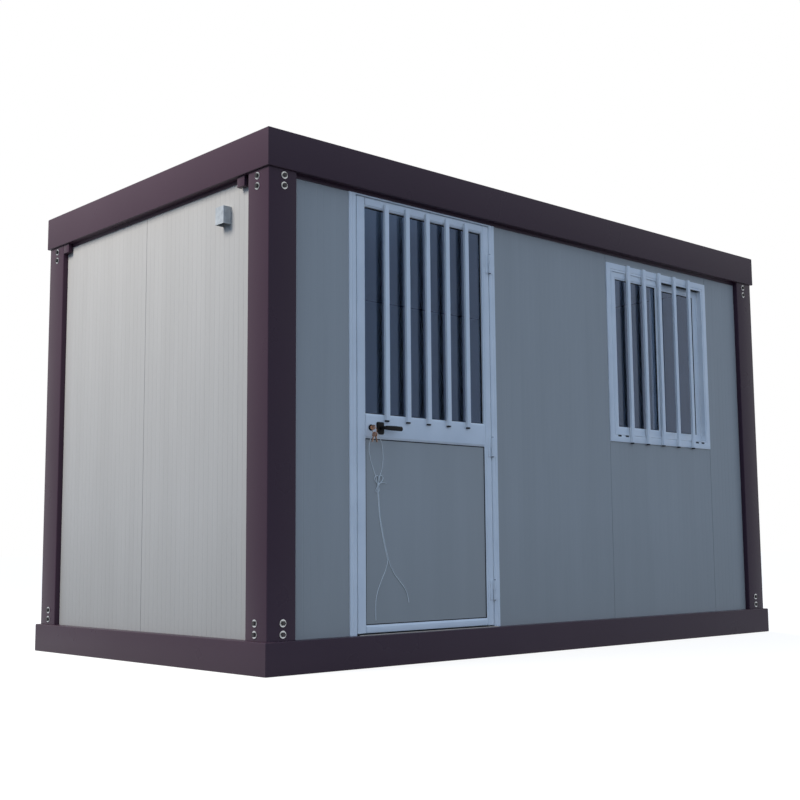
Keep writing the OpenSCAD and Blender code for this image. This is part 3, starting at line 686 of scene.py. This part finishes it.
class CABIN_OT_frame(bpy.types.Operator):
    """Folded steel roof and base rings, corner posts, lifting lugs and post bolts"""
    bl_idname = "cabin.frame"
    bl_label = "Steel frame"

    def execute(self, context):
        s = context.scene.cabin_sizes
        t, bend = s.sheet / MM, s.bend / MM
        self.ring("base_frame", "base_beam_", t, bend, False)
        self.ring("roof_frame", "roof_beam_", t, bend, True)
        self.posts(t, bend)
        low, high = span("roof_lugs")
        parts = []
        plate = 58.0
        for x in (low[0], high[0] - 24.0):
            for y in (low[1], high[1] - plate):
                parts.append(block((x, y, low[2]), (x + 24.0, y + plate, high[2]), 1.6))
        piece("lifting_lugs", parts, "cabin", "powder_coat", ("roof_lugs",))
        self.bolts(s)
        return {"FINISHED"}

    def ring(self, name, prefix, t, bend, roof):
        """One folded section round all four sides, mitred: (p, q) is the distance
        inwards and the height. The roof's section has a ledge for the sheet, and both
        have a lip turned under the wall's top or over its foot."""
        nodes = [prefix + side for side in ("front", "back", "left", "right")]
        low, high = span(*nodes)
        box_low, box_high = span(prefix + "front")
        z0, z1 = (box_high[2] - 180.0, box_high[2]) if roof else (box_low[2], box_high[2])
        if roof:
            low, high = low.copy(), high.copy()
            line = [(92, z0), (0, z0), (0, z1), (65, z1)]
            low[:2], high[:2] = (-1992, -1067), (1992, 1067)
        else:
            line = [(100, z0), (0, z0), (0, z1), (100, z1)]
        section = strip(line[::-1], t, bend)
        parts = [hoop(section, low, high, (1, 0, 0), (0, 1, 0), (0, 0, 1))]
        if roof:
            ledge = oblong(44.0 - t, 5.0, 0.8)
            ledge = ledge + ((44.0 + t) / 2, z0 + 112.5)
            parts.append(hoop(ledge, low, high, (1, 0, 0), (0, 1, 0), (0, 0, 1)))
            for sign in (-1, 1):
                y = sign * 1028.0
                parts.append(block((-1820, y - 3, z0 - 18), (1820, y + 3, z0 + 1), 0.8))
                x = sign * 1953.0
                parts.append(block((x - 3, -895, z0 - 18), (x + 3, 895, z0 + 1), 0.8))
        piece(name, parts, "cabin", "powder_coat", nodes, sharp=25)

    def posts(self, t, bend):
        """Each post is one folded strip: return, face, corner bend, face, return."""
        for right in (0, 1):
            for back in (0, 1):
                node = "post_" + ("back" if back else "front") + ("_right" if right else "_left")
                low, high = span(node)
                sx, sy = (-1 if right else 1), (-1 if back else 1)
                origin = np.array((high[0] if right else low[0], high[1] if back else low[1], 0.0))
                w, r = high[0] - low[0], 30.0
                section = strip([(r, w), (0, w), (0, 0), (w, 0), (w, r)], t, bend)
                parts = [bar(section, origin + (0, 0, low[2]), origin + (0, 0, high[2]),
                             (sx, 0, 0), (0, sy, 0))]
                piece(node + "_folded", parts, "cabin", "powder_coat", (node,), sharp=25)

    def bolts(self, s):
        """Hexagon bolts with washers, two at the top and two at the foot of each post
        face. A hexagon's radius at angle a is cos 30 / cos(a mod 60 - 30)."""
        def hexagon(a):
            return math.cos(math.pi / 6) / np.cos(a % (math.pi / 3) - math.pi / 6)
        low, high = span("post_front_left", "post_back_right")
        parts, heads = [], []
        inset, washer = s.bolt_in / MM, s.washer / MM
        for z in (high[2] - 28, high[2] - 76, low[2] + 78, low[2] + 29):
            spots = []
            for sx, x in ((1, low[0]), (-1, high[0])):
                for sy, y in ((1, low[1]), (-1, high[1])):
                    spots.append(((x + sx * inset, y, z), (0, -sy, 0)))
                    spots.append(((x, y + sy * inset, z), (-sx, 0, 0)))
            for centre, axis in spots:
                parts.append(turned([(0, -1), (washer, -1), (washer, 1.6), (washer - 0.8, 2.3),
                                     (12, 2.3), (0, 2.3)], centre, axis, 36))
                heads.append(turned([(0, 2), (11, 2), (11, 9), (9.8, 10.4), (0, 10.8)],
                                    centre, axis, 24, hexagon))
        piece("post_washers", parts, "cabin", "zinc_plate")
        piece("post_bolt_heads", heads, "cabin", "blackened_steel", sharp=20)


class CABIN_OT_walls(bpy.types.Operator):
    """Ribbed sandwich panels with sealed joints, on all four sides"""
    bl_idname = "cabin.walls"
    bl_label = "Wall panels"

    def execute(self, context):
        s = context.scene.cabin_sizes
        pitch, depth = s.rib_pitch / MM, s.rib_depth / MM
        for node in ("front_panel_left", "front_panel_middle", "front_panel_under_window",
                     "front_panel_over_window", "front_panel_right"):
            low, high = span(node)
            piece(node + "_skin", [self.panel(low, high, (0, -1), pitch, depth * 0.5)],
                  "cabin", "coated_skin", (node,), sharp=12)
        for node in ("left_panel_front", "left_panel_back"):
            low, high = span(node)
            piece(node + "_skin", [self.panel(low, high, (-1, 0), pitch, depth)],
                  "cabin", "coated_skin", (node,), sharp=12)
        low, high = span("right_panels")
        left_low, left_high = span("left_panel_front")
        back_low, back_high = span("left_panel_back")
        parts = [self.panel((low[0], a[1], low[2]), (high[0], b[1], high[2]), (1, 0), pitch, depth)
                 for a, b in ((left_low, left_high), (back_low, back_high))]
        piece("right_panels_skin", parts, "cabin", "coated_skin", ("right_panels",), sharp=12)
        low, high = span("back_panels")
        count, gap = 4, 2.0
        width = (high[0] - low[0] - (count - 1) * gap) / count
        parts = [self.panel((low[0] + i * (width + gap), low[1], low[2]),
                            (low[0] + i * (width + gap) + width, high[1], high[2]), (0, 1), pitch, depth)
                 for i in range(count)]
        piece("back_panels_skin", parts, "cabin", "coated_skin", ("back_panels",), sharp=12)
        self.joints()
        return {"FINISHED"}

    def panel(self, low, high, face, pitch, depth):
        """A panel's outline in plan, carried upwards. Its outer face is set back by
        depth times a narrow trapezoid once in each pitch, and its edges are eased."""
        low, high = np.asarray(low, float), np.asarray(high, float)
        along = 1 if face[0] else 0
        wide = high[along] - low[along]
        thick = high[1 - along] - low[1 - along]
        count = max(int(round(wide / pitch)), 1)
        step = wide / count
        u = np.concatenate([np.array((-3.2, -1.4, 1.4, 3.2)) + i * step for i in range(1, count)]) \
            if count > 1 else np.zeros(0)
        v = np.tile((0.0, depth, depth, 0.0), max(count - 1, 0))
        ease = 2.0
        u = np.concatenate([[0, ease * 0.3, ease], u, [wide - ease, wide - ease * 0.3, wide]])
        v = np.concatenate([[ease, ease * 0.3, 0], v, [0, ease * 0.3, ease]])
        u = np.concatenate([u, [wide, 0]])
        v = np.concatenate([v, [thick, thick]])
        if along == 1:
            x = low[0] + v if face[0] < 0 else high[0] - v
            plan = np.stack([x, low[1] + u], axis=1)
        else:
            y = low[1] + v if face[1] < 0 else high[1] - v
            plan = np.stack([low[0] + u, y], axis=1)
        rows = [np.column_stack([plan, np.full(len(plan), z)]) for z in (low[2], high[2])]
        return outward(grid(rows, wrap_v=True, cap=True))

    def joints(self):
        """Dark seals set back in the gaps between panels."""
        parts = []
        left = span("left_panel_front")[1][1]
        z0, z1 = span("left_panel_front")[0][2] + 1, span("left_panel_front")[1][2] - 1
        for sign in (-1, 1):
            x = sorted((sign * 1946.0, sign * 1930.0))
            parts.append(block((x[0], left - 0.5, z0), (x[1], left + 2.5, z1), 0.3))
        low, high = span("back_panels")
        width = (high[0] - low[0] - 6.0) / 4
        for i in range(3):
            x = low[0] + (i + 1) * width + i * 2.0
            parts.append(block((x - 0.5, 1005, z0), (x + 2.5, 1021, z1), 0.3))
        for x in (span("front_panel_middle")[1][0], span("window_frame")[1][0]):
            parts.append(block((x - 0.5, -1021, z0), (x + 2.5, -1005, z1), 0.3))
        piece("panel_joint_seals", parts, "cabin", "joint_seal")


class CABIN_OT_roof(bpy.types.Operator):
    """Trapezoidal roof sheet with its screws, the ceiling, floor and joists"""
    bl_idname = "cabin.roof"
    bl_label = "Roof and floor"

    def execute(self, context):
        low, high = span("roof_sheet")
        count, rise, thick = 14, 30.0, 3.0
        pitch = (high[0] - low[0]) / count
        shape = np.array([(0, 0), (0.45, 0), (0.55, 1), (0.9, 1)])
        line = np.concatenate([shape + (i, 0) for i in range(count)] + [[(count, 0)]])
        top = line * (pitch, rise) + (low[0], low[2] + thick)
        outline = strip(top[::-1], thick, 5.0, 2)
        part = bar(outline, (0, low[1], 0), (0, high[1], 0), (1, 0, 0), (0, 0, 1))
        piece("roof_sheet_rolled", [part], "cabin", "galvanised", ("roof_sheet",), sharp=20)
        parts = []
        for i in range(count):
            x = low[0] + (i + 0.22) * pitch
            for y in (low[1] + 24, 0.0, high[1] - 24):
                parts.append(turned([(0, 0), (9, 0), (9, 1.5), (6, 2), (5.2, 6), (0, 6.4)],
                                    (x, y, low[2] + thick), (0, 0, 1), 16))
        piece("roof_screws", parts, "cabin", "zinc_plate")
        finish_node("white_section", "ceiling_panel")
        finish_node("faced_plywood", "floor_board")
        finish_node("galvanised", "floor_joists")
        return {"FINISHED"}


def rail_section(width, depth, step=3.0, ease=1.6):
    """A hollow section's outline with a stepped face: (p, q) is the distance from the
    outer edge and from the back, with a bead groove near the inner edge."""
    return rounded([(0, 0), (width, 0), (width, depth - step - 2), (width - 5, depth - step),
                    (width - 9, depth - step), (width - 9, depth), (0, depth)],
                   [ease, ease, 1.0, 0.6, 0.5, ease, ease], 3)


class CABIN_OT_door(bpy.types.Operator):
    """Door set: stepped jambs and head, threshold, leaf sections, glass, beads and bars"""
    bl_idname = "cabin.door"
    bl_label = "Door"

    def execute(self, context):
        s = context.scene.cabin_sizes
        self.surround()
        self.leaf()
        self.glazing()
        self.bars(s)
        return {"FINISHED"}

    def surround(self):
        jl, jh = span("door_jambs")
        hl, hh = span("door_head")
        face, back = jl[1], jh[1]
        wide = hl[0] - jl[0]
        rest = face + 6.0
        lip = hh[2] - 18.0
        # plan of a jamb: (distance from the outer edge, depth from the face)
        plan = rounded([(0, 6), (0, back - face), (wide + 12, back - face), (wide + 12, back - face - 7),
                        (wide, back - face - 7), (wide, 0), (22, 0), (19.5, 2.5), (16, 2.5), (13.5, 0), (0, 0)],
                       [0.2, 1, 1, 0.8, 0.8, 1.6, 0.8, 0.6, 0.6, 0.8, 1.6], 2)
        parts = []
        for x, sign in ((jl[0], 1), (jh[0], -1)):
            parts.append(bar(plan, (x, face, jl[2]), (x, face, lip), (sign, 0, 0), (0, 1, 0)))
            upper = [(0, 6), (0, back - face), (wide + 12, back - face), (wide + 12, back - face - 7),
                     (wide, back - face - 7), (wide, 6)]
            parts.append(bar(upper, (x, face, lip), (x, face, jh[2]), (sign, 0, 0), (0, 1, 0)))
        piece("door_jambs_drawn", parts, "cabin", "white_section", ("door_jambs",), sharp=25)
        # the head: (depth from the face, height)
        head = rounded([(0, hl[2] + 12), (back - face - 7, hl[2] + 12), (back - face - 7, hl[2]),
                        (back - face, hl[2]), (back - face, hh[2]), (6, hh[2]), (6, lip), (0, lip)],
                       [1.2, 0.8, 0.8, 0.8, 0.8, 0.4, 0.4, 0.8], 2)
        parts = [bar(head, (hl[0] + 12, face, 0), (hh[0] - 12, face, 0), (0, 1, 0), (0, 0, 1)),
                 block((hl[0], face, hl[2] + 12), (hl[0] + 13, face + 39, lip), 0.4),
                 block((hh[0] - 13, face, hl[2] + 12), (hh[0], face + 39, lip), 0.4)]
        piece("door_head_drawn", parts, "cabin", "white_section", ("door_head",), sharp=25)
        tl, th = span("door_threshold")
        n = 7
        ribs = np.array([(y, h) for i in range(n) for y, h in
                         ((4 + i * 5.0, 2.0), (5.0 + i * 5.0, 3.0), (7.5 + i * 5.0, 3.0), (8.5 + i * 5.0, 2.0))])
        outline = np.vstack([[(0, 0), (0, 1.4), (1.6, 2.6)], ribs, [(th[1] - tl[1], 2.0), (th[1] - tl[1], 0)]])
        parts = [bar(outline, (tl[0], tl[1], tl[2]), (th[0], tl[1], tl[2]), (0, 1, 0), (0, 0, 1))]
        piece("door_threshold_ribbed", parts, "cabin", "threshold_metal",
              ("door_threshold",), sharp=20)

    def leaf(self):
        sl, sh = span("leaf_stiles")
        gl, gh = span("leaf_glass")
        il, ih = span("leaf_infill")
        rl, rh = span("leaf_rails")
        face, back = sl[1], sh[1]
        depth = back - face
        parts = []
        for x, sign, wide in ((sl[0], 1, gl[0] - sl[0]), (sh[0], -1, sh[0] - gh[0])):
            plan = rounded([(0, 0), (wide - 9, 0), (wide - 9, 2), (wide - 6, 3), (wide, 5),
                            (wide, depth), (0, depth)], [1.6, 0.8, 0.5, 0.5, 1.0, 1.2, 1.2], 2)
            parts.append(bar(plan, (x, face, sl[2]), (x, face, sh[2]), (sign, 0, 0), (0, 1, 0), ease=0))
        piece("leaf_stiles_drawn", parts, "door", "white_section", ("leaf_stiles",), sharp=25)
        parts = []

        def rail(z0, z1, bead_low, bead_high):
            lo = [(0, z0 + 9), (3, z0 + 6), (5, z0), (depth, z0)] if bead_low else [(0, z0), (depth, z0)]
            hi = [(depth, z1), (5, z1), (3, z1 - 6), (0, z1 - 9)] if bead_high else [(depth, z1), (0, z1)]
            return rounded(lo + hi, 0.9, 2)
        parts.append(bar(rail(rl[2], il[2], False, True), (gl[0], face, 0), (gh[0], face, 0), (0, 1, 0), (0, 0, 1)))
        parts.append(bar(rail(gh[2], rh[2], True, False), (gl[0], face, 0), (gh[0], face, 0), (0, 1, 0), (0, 0, 1)))
        pl, ph = span("handle_plates")
        lever_x, lever_z = ph[0] - 22.0, (pl[2] + ph[2]) / 2
        self.spindle = (lever_x, lever_z)
        middle = rail(ih[2], gl[2], True, True)
        parts.append(bar(middle, (gl[0], face, 0), (lever_x - 13, face, 0), (0, 1, 0), (0, 0, 1)))
        parts.append(bar(middle, (lever_x + 13, face, 0), (gh[0], face, 0), (0, 1, 0), (0, 0, 1)))
        for z0, z1 in ((ih[2], lever_z - 13), (lever_z + 13, gl[2])):
            cut = middle.copy()
            cut[:, 1] = np.clip(cut[:, 1], z0, z1)
            keep = np.ones(len(cut), bool)
            same = np.all(np.isclose(cut, np.roll(cut, 1, axis=0)), axis=1)
            parts.append(bar(cut[keep & ~same], (lever_x - 13, face, 0), (lever_x + 13, face, 0),
                             (0, 1, 0), (0, 0, 1)))
        piece("leaf_rails_drawn", parts, "door", "white_section", ("leaf_rails",), sharp=25)
        parts = [block(il + (0, 0.2, 0), ih - (0, 0.2, 0), 0.6)]
        piece("leaf_infill_board", parts, "door", "coated_skin", ("leaf_infill",))

    def glazing(self):
        gl, gh = span("leaf_glass")
        il, ih = span("leaf_infill")
        finish_node("float_glass", "leaf_glass")
        section = rounded([(0, 0), (4.5, 0.4), (4.5, 1.6), (0, 3)], 0.4, 2)
        parts = []
        for low, high, front, back in ((gl, gh, gl[1], gh[1]), (il, ih, il[1] + 0.2, ih[1] - 0.2)):
            for y, out in ((front, -1), (back, 1)):
                parts.append(hoop(section, (low[0], low[2]), (high[0], high[2]), (1, 0, 0), (0, 0, 1),
                                  (0, out, 0), (0, y, 0)))
        piece("leaf_gaskets", parts, "door", "glazing_rubber_and_painted_shade")

    def bars(self, s):
        low, high = span("leaf_bars")
        make_bars("leaf_bars_tubes", low, high, s, "door", "leaf_bars")


def make_bars(name, low, high, s, body, node):
    """Square tubes: an outer and an inner round-cornered rectangle, carried upwards
    and joined at both ends, so each tube stays open."""
    count, wide = s.bar_count, s.bar_width / MM
    deep, wall = high[1] - low[1], 1.5
    centres = np.linspace(low[0] + wide / 2, high[0] - wide / 2, count)
    parts, plugs_and_painted_shade = [], []
    for x in centres:
        outer = oblong(wide, deep, 2.4, 3)
        inner = oblong(wide - 2 * wall, deep - 2 * wall, 1.2, 3)
        c = np.array((x, (low[1] + high[1]) / 2))
        rows = [np.column_stack([q + c, np.full(len(q), z)]) for q, z in
                ((outer, low[2]), (outer, high[2]), (inner, high[2]), (inner, low[2]))]
        parts.append(outward(grid(rows, wrap_u=True, wrap_v=True)))
        # dark rubber plugs inside both ends of each tube, which also paint the shade inside the open tube
        for z in (low[2] + 1.5, high[2] - 4.5):
            plugs_and_painted_shade.append(block((x - wide / 2 + wall, low[1] + wall, z),
                               (x + wide / 2 - wall, high[1] - wall, z + 3), 0.4))
        # a dark foot under each bar's lower end
        plugs_and_painted_shade.append(block((x - wide / 2 + 2, low[1] + 5, low[2] - 7),
                           (x + wide / 2 - 2, high[1] - 0.4, low[2] - 0.1), 1.0))
    piece(name, parts, body, "white_section", (node,), sharp=25)
    piece(name + "_plugs", plugs_and_painted_shade, body, "glazing_rubber_and_painted_shade")


class CABIN_OT_hardware(bpy.types.Operator):
    """Hinges, lever handle, plates, key cylinder and keys"""
    bl_idname = "cabin.hardware"
    bl_label = "Door hardware"

    def execute(self, context):
        self.hinges()
        self.lever()
        self.keys()
        return {"FINISHED"}

    def hinges(self):
        jl, jh = span("jamb_hinges")
        ll, lh = span("leaf_hinges")
        pin_x = jh[0] - 28.0
        pin_y = jl[1] + 8.0
        height, reach = 100.0, 28.0
        middle = (jl[2] + jh[2] - height) / 2
        leaf_rail = span("leaf_infill")[1][2]
        jamb, leaf = [], []
        for z in (jl[2] + 50, leaf_rail, jh[2] - 50):
            for side, parts, a, b in ((1, jamb, -50, -0.5), (-1, leaf, 0.5, 50)):
                wall = [(8, a), (8, b)]
                if side > 0:
                    parts.append(turned([(0, a), (7.2, a), (8, a + 0.8), (8, b - 0.8), (7.4, b), (0, b)],
                                        (pin_x, pin_y, z), (0, 0, 1), 28))
                    parts.append(turned([(0, -50), (3.9, -50), (4, 49), (3.4, 50), (0, 50)],
                                        (pin_x, pin_y, z), (0, 0, 1), 20))
                else:
                    angle = 2 * np.pi * np.arange(28) / 28
                    ring = np.stack([np.cos(angle), np.sin(angle), 0 * angle], axis=1)
                    rows = [ring * (r, r, 1) + (pin_x, pin_y, z + h) for r, h in
                            ((4.5, a), (7.4, a), (8, a + 0.8), (8, b - 0.8), (7.2, b), (4.5, b))]
                    parts.append(outward(grid(rows, wrap_u=True, wrap_v=True)))
                x = sorted((pin_x + side * 9.0, pin_x + side * reach))
                parts.append(block((x[0], pin_y + 4, z - 50), (x[1], pin_y + 8, z + 50), 0.8))
                x = sorted((pin_x + side * 6.6, pin_x + side * 10.0))
                parts.append(block((x[0], pin_y + 4, z + a), (x[1], pin_y + 8, z + b), 0.5))
                for h in (-34, -12, 12, 34):
                    parts.append(turned([(0, -0.2), (3.6, -0.2), (3.4, 0.7), (1.2, 1.0), (0, 0.6)],
                                        (pin_x + side * 19, pin_y + 4, z + h), (0, -1, 0), 16))
        caps = [turned([(0, -0.1), (5.6, -0.1), (5.4, 2.0), (3.6, 3.0), (0, 3.0)],
                       (pin_x, pin_y, z + side * 50), (0, 0, side), 20)
                for z in (jl[2] + 50, leaf_rail, jh[2] - 50) for side in (-1, 1)]
        piece("hinge_pin_caps", caps, "cabin", "blackened_steel")
        piece("jamb_hinges_turned", jamb, "cabin", "white_section", ("jamb_hinges",))
        piece("leaf_hinges_turned", leaf, "door", "white_section", ("leaf_hinges",))

    def lever(self):
        """The lever is one round bar that leaves the spindle, bends through a quarter
        circle of 14 mm and runs out level, with a domed end."""
        pl, ph = span("handle_plates")
        ll, lh = span("door_lever")
        x, z = ph[0] - 22.0, (pl[2] + ph[2]) / 2
        face = span("leaf_stiles")[0][1]
        back = span("leaf_stiles")[1][1]
        parts = []
        for y0, y1 in ((pl[1], face), (back, ph[1])):
            outer = oblong(44, 60, 9, 5)
            out = -1 if y0 < face else 1
            seat = face if out < 0 else back
            rows = []
            for scale, depth in ((1.0, 0.0), (1.0, 5.5), (0.97, 7.2), (0.92, 8.0)):
                q = outer * scale
                rows.append(np.column_stack([q[:, 0] + x, np.full(len(q), seat + out * depth), q[:, 1] + z]))
            inner = turned_ring(x, z, 8.6, len(outer))
            rows.append(np.column_stack([inner[:, 0], np.full(len(outer), seat + out * 8.0), inner[:, 1]]))
            rows.append(np.column_stack([inner[:, 0], np.full(len(outer), seat), inner[:, 1]]))
            parts.append(outward(grid(rows, wrap_u=True, wrap_v=True)))
        lock = pl[0] + 15.0
        parts.append(turned([(0, 0), (15, 0), (15, 3), (13.6, 5.2), (9.6, 6), (0, 6)],
                            (lock, face, z), (0, -1, 0), 32))
        piece("handle_plates_moulded", parts, "door", "black_nylon", ("handle_plates",))
        reach = (lh[0] - x, x - ll[0])
        sign = 1 if reach[0] > reach[1] else -1
        length = max(reach)
        parts = []
        for y_end, y_seat, out in ((ll[1] + 8, pl[1], -1), (lh[1] - 8, ph[1], 1)):
            t = np.linspace(0, np.pi / 2, 9)[1:]
            bend = 9.0
            path = [(0, y_seat - out * 4)] + [(0, y_end - out * bend)]
            curve = [(bend * (1 - math.cos(a)), y_end - out * bend + out * bend * math.sin(a)) for a in t]
            run = [(length - 6, y_end), (length - 2.5, y_end), (length - 0.7, y_end), (length - 0.1, y_end)]
            flat = np.array(path + curve + [(length * 0.5, y_end)] + run)
            radii = np.concatenate([[8.0, 8.0], np.full(len(curve), 8.0), [7.8, 7.6, 6.4, 4.2, 1.0]])
            route = np.column_stack([x + sign * flat[:, 0], flat[:, 1], np.full(len(flat), z)])
            verts, faces = tube(route, radii, 24)
            tall = 1 + 0.5 * np.clip(sign * (verts[:, 0] - x) / 15.0, 0, 1)
            verts[:, 2] = z + (verts[:, 2] - z) * tall
            parts.append((verts, faces))
        parts.append(turned([(0, 0), (7.9, 0), (7.9, lh[1] - ll[1] - 24), (0, lh[1] - ll[1] - 24)],
                            (x, ll[1] + 12, z), (0, 1, 0), 24))
        piece("door_lever_moulded", parts, "door_handle", "black_nylon", ("door_lever",), sharp=50)

    def keys(self):
        finish_node("worn_brass", "door_keys")
        low, high = span("handle_plates")
        face = span("leaf_stiles")[0][1]
        x, z = low[0] + 15.0, (low[2] + high[2]) / 2
        plug = [turned([(0, 5.6), (8.4, 5.6), (8.4, 6.6), (7.6, 7.0), (0, 7.0)], (x, face, z), (0, -1, 0), 28)]
        piece("cylinder_plug", plug, "door", "worn_brass")


def turned_ring(x, z, radius, count):
    """Points of a circle in the plane of the door, one for each of an oblong's own,
    starting at its low left corner."""
    angle = np.pi * 1.25 + 2 * np.pi * np.arange(count) / count
    return np.stack([x + radius * np.cos(angle), z + radius * np.sin(angle)], axis=1)


class CABIN_OT_window(bpy.types.Operator):
    """Sliding window: stepped frame, two sashes, gaskets, drain slots and bars"""
    bl_idname = "cabin.window"
    bl_label = "Window"

    def execute(self, context):
        s = context.scene.cabin_sizes
        low, high = span("window_frame")
        left, left_high = span("window_sash_left")
        right, right_high = span("window_sash_right")
        face = left[0] - low[0]
        deep = high[1] - low[1]
        section = rounded([(0, 0), (face - 14, 0), (face - 14, 2), (face - 12, 3), (face - 8, 3),
                           (face - 6, 2), (face - 6, 0), (face, 0), (face, deep), (0, deep)],
                          [1.8, 0.6, 0.3, 0.3, 0.3, 0.3, 0.6, 1.0, 1.0, 1.0], 2)
        parts = [hoop(section, (low[0], low[2]), (high[0], high[2]), (1, 0, 0), (0, 0, 1), (0, 1, 0),
                      (0, low[1], 0))]
        piece("window_frame_mitred", parts, "cabin", "white_section", ("window_frame",), sharp=25)
        for name, a, b in (("window_sash_left", left, left_high), ("window_sash_right", right, right_high)):
            thick = b[1] - a[1]
            width = 42.0
            section = rounded([(0, 0), (width - 10, 0), (width - 8, 2.5), (width, 4), (width, thick - 4),
                               (width - 8, thick - 2.5), (width - 10, thick), (0, thick)],
                              [1.6, 0.8, 0.6, 0.8, 0.8, 0.6, 0.8, 1.6], 2)
            parts = [hoop(section, (a[0], a[2]), (b[0], b[2]), (1, 0, 0), (0, 0, 1), (0, 1, 0), (0, a[1], 0))]
            piece(name + "_mitred", parts, "cabin", "white_section", (name,), sharp=25)
        finish_node("float_glass", "window_panes")
        bead = rounded([(0, 0), (4, 0.4), (4, 1.6), (0, 3)], 0.4, 2)
        parts = []
        for a, b in ((left, left_high), (right, right_high)):
            for y, out in ((a[1] + 9.5, -1), (a[1] + 14.5, 1)):
                parts.append(hoop(bead, (a[0] + 42, a[2] + 42), (b[0] - 42, b[2] - 42), (1, 0, 0), (0, 0, 1),
                                  (0, out, 0), (0, y, 0)))
        parts.append(block((left_high[0] - 3, left_high[1] + 0.3, left[2] + 4),
                           (left_high[0] - 0.5, left_high[1] + 3.7, left_high[2] - 4), 0.4))
        # painted shade: a dark strip in the outer track over the right sash's head
        parts.append(block((left_high[0], left[1] + 1, left_high[2] - 2.5),
                           (right_high[0] - 1, right[1] - 1, left_high[2] + 0.4), 0.3))
        slot = oblong(30, 9, 4, 4)
        for x in (84.0, 152.0, 862.0, 923.0):
            at = (low[0] + x, low[1] - 0.15, low[2] + 35)
            parts.append(bar(slot, at, (at[0], at[1] + 1.2, at[2]), (1, 0, 0), (0, 0, 1)))
        piece("window_gaskets_and_painted_shade", parts, "cabin", "glazing_rubber_and_painted_shade")
        low_b, high_b = span("window_bars")
        make_bars("window_bars_tubes", low_b, high_b, s, "cabin", "window_bars")
        return {"FINISHED"}


class CABIN_OT_cowl(bpy.types.Operator):
    """The cable cowl on the left end wall, folded from sheet and riveted"""
    bl_idname = "cabin.cowl"
    bl_label = "Cable cowl"

    def execute(self, context):
        low, high = span("cable_cowl")
        wall = 2.0
        plan = strip([(high[0], low[1]), (low[0], low[1]), (low[0], high[1]), (high[0], high[1])][::-1],
                     wall, 3.0)
        parts = [bar(plan, (0, 0, low[2]), (0, 0, high[2] - 1.0), (1, 0, 0), (0, 1, 0)),
                 block((low[0] + 0.3, low[1] + 0.3, high[2] - wall), (high[0], high[1] - 0.3, high[2]), 1.0)]
        rivets = []
        for z in (low[2] + 26, high[2] - 22):
            for y, out in ((low[1], -1), (high[1], 1)):
                rivets.append(turned([(0, -1.0), (5.4, -1.0), (5.0, 0.2), (3.2, 0.35), (0, 0.4)],
                                     ((low[0] + high[0]) / 2 + 3, y - out * 0.4, z), (0, out, 0), 18))
        piece("cowl_rivets", rivets, "cabin", "blackened_steel")
        piece("cable_cowl_folded", parts, "cabin", "weathered_zinc", ("cable_cowl",), sharp=25)
        return {"FINISHED"}


class CABIN_PT_panel(bpy.types.Panel):
    """Lists the cabin's pieces and sizes in the sidebar"""
    bl_label = "Portable cabin"
    bl_idname = "CABIN_PT_panel"
    bl_space_type = "VIEW_3D"
    bl_region_type = "UI"
    bl_category = "Cabin"

    def draw(self, context):
        column = self.layout.column()
        for operator in OPERATORS:
            column.operator(operator.bl_idname)
        for group in (context.scene.cabin_sizes, context.scene.cabin_studio):
            for name in group.bl_rna.properties.keys():
                if name not in ("rna_type", "name"):
                    column.prop(group, name)


OPERATORS = (CABIN_OT_studio, CABIN_OT_string, CABIN_OT_frame, CABIN_OT_walls, CABIN_OT_roof,
             CABIN_OT_door, CABIN_OT_hardware, CABIN_OT_window, CABIN_OT_cowl)
CLASSES = (CabinSizes, CabinStudio, *OPERATORS, CABIN_PT_panel)


def register():
    for cls in CLASSES:
        bpy.utils.register_class(cls)
    bpy.types.Scene.cabin_sizes = PointerProperty(type=CabinSizes)
    bpy.types.Scene.cabin_studio = PointerProperty(type=CabinStudio)


def unregister():
    del bpy.types.Scene.cabin_studio
    del bpy.types.Scene.cabin_sizes
    for cls in reversed(CLASSES):
        bpy.utils.unregister_class(cls)


def main():
    register()
    for operator in OPERATORS:
        group, name = operator.bl_idname.split(".")
        getattr(getattr(bpy.ops, group), name)()


if __name__ == "__main__":
    main()
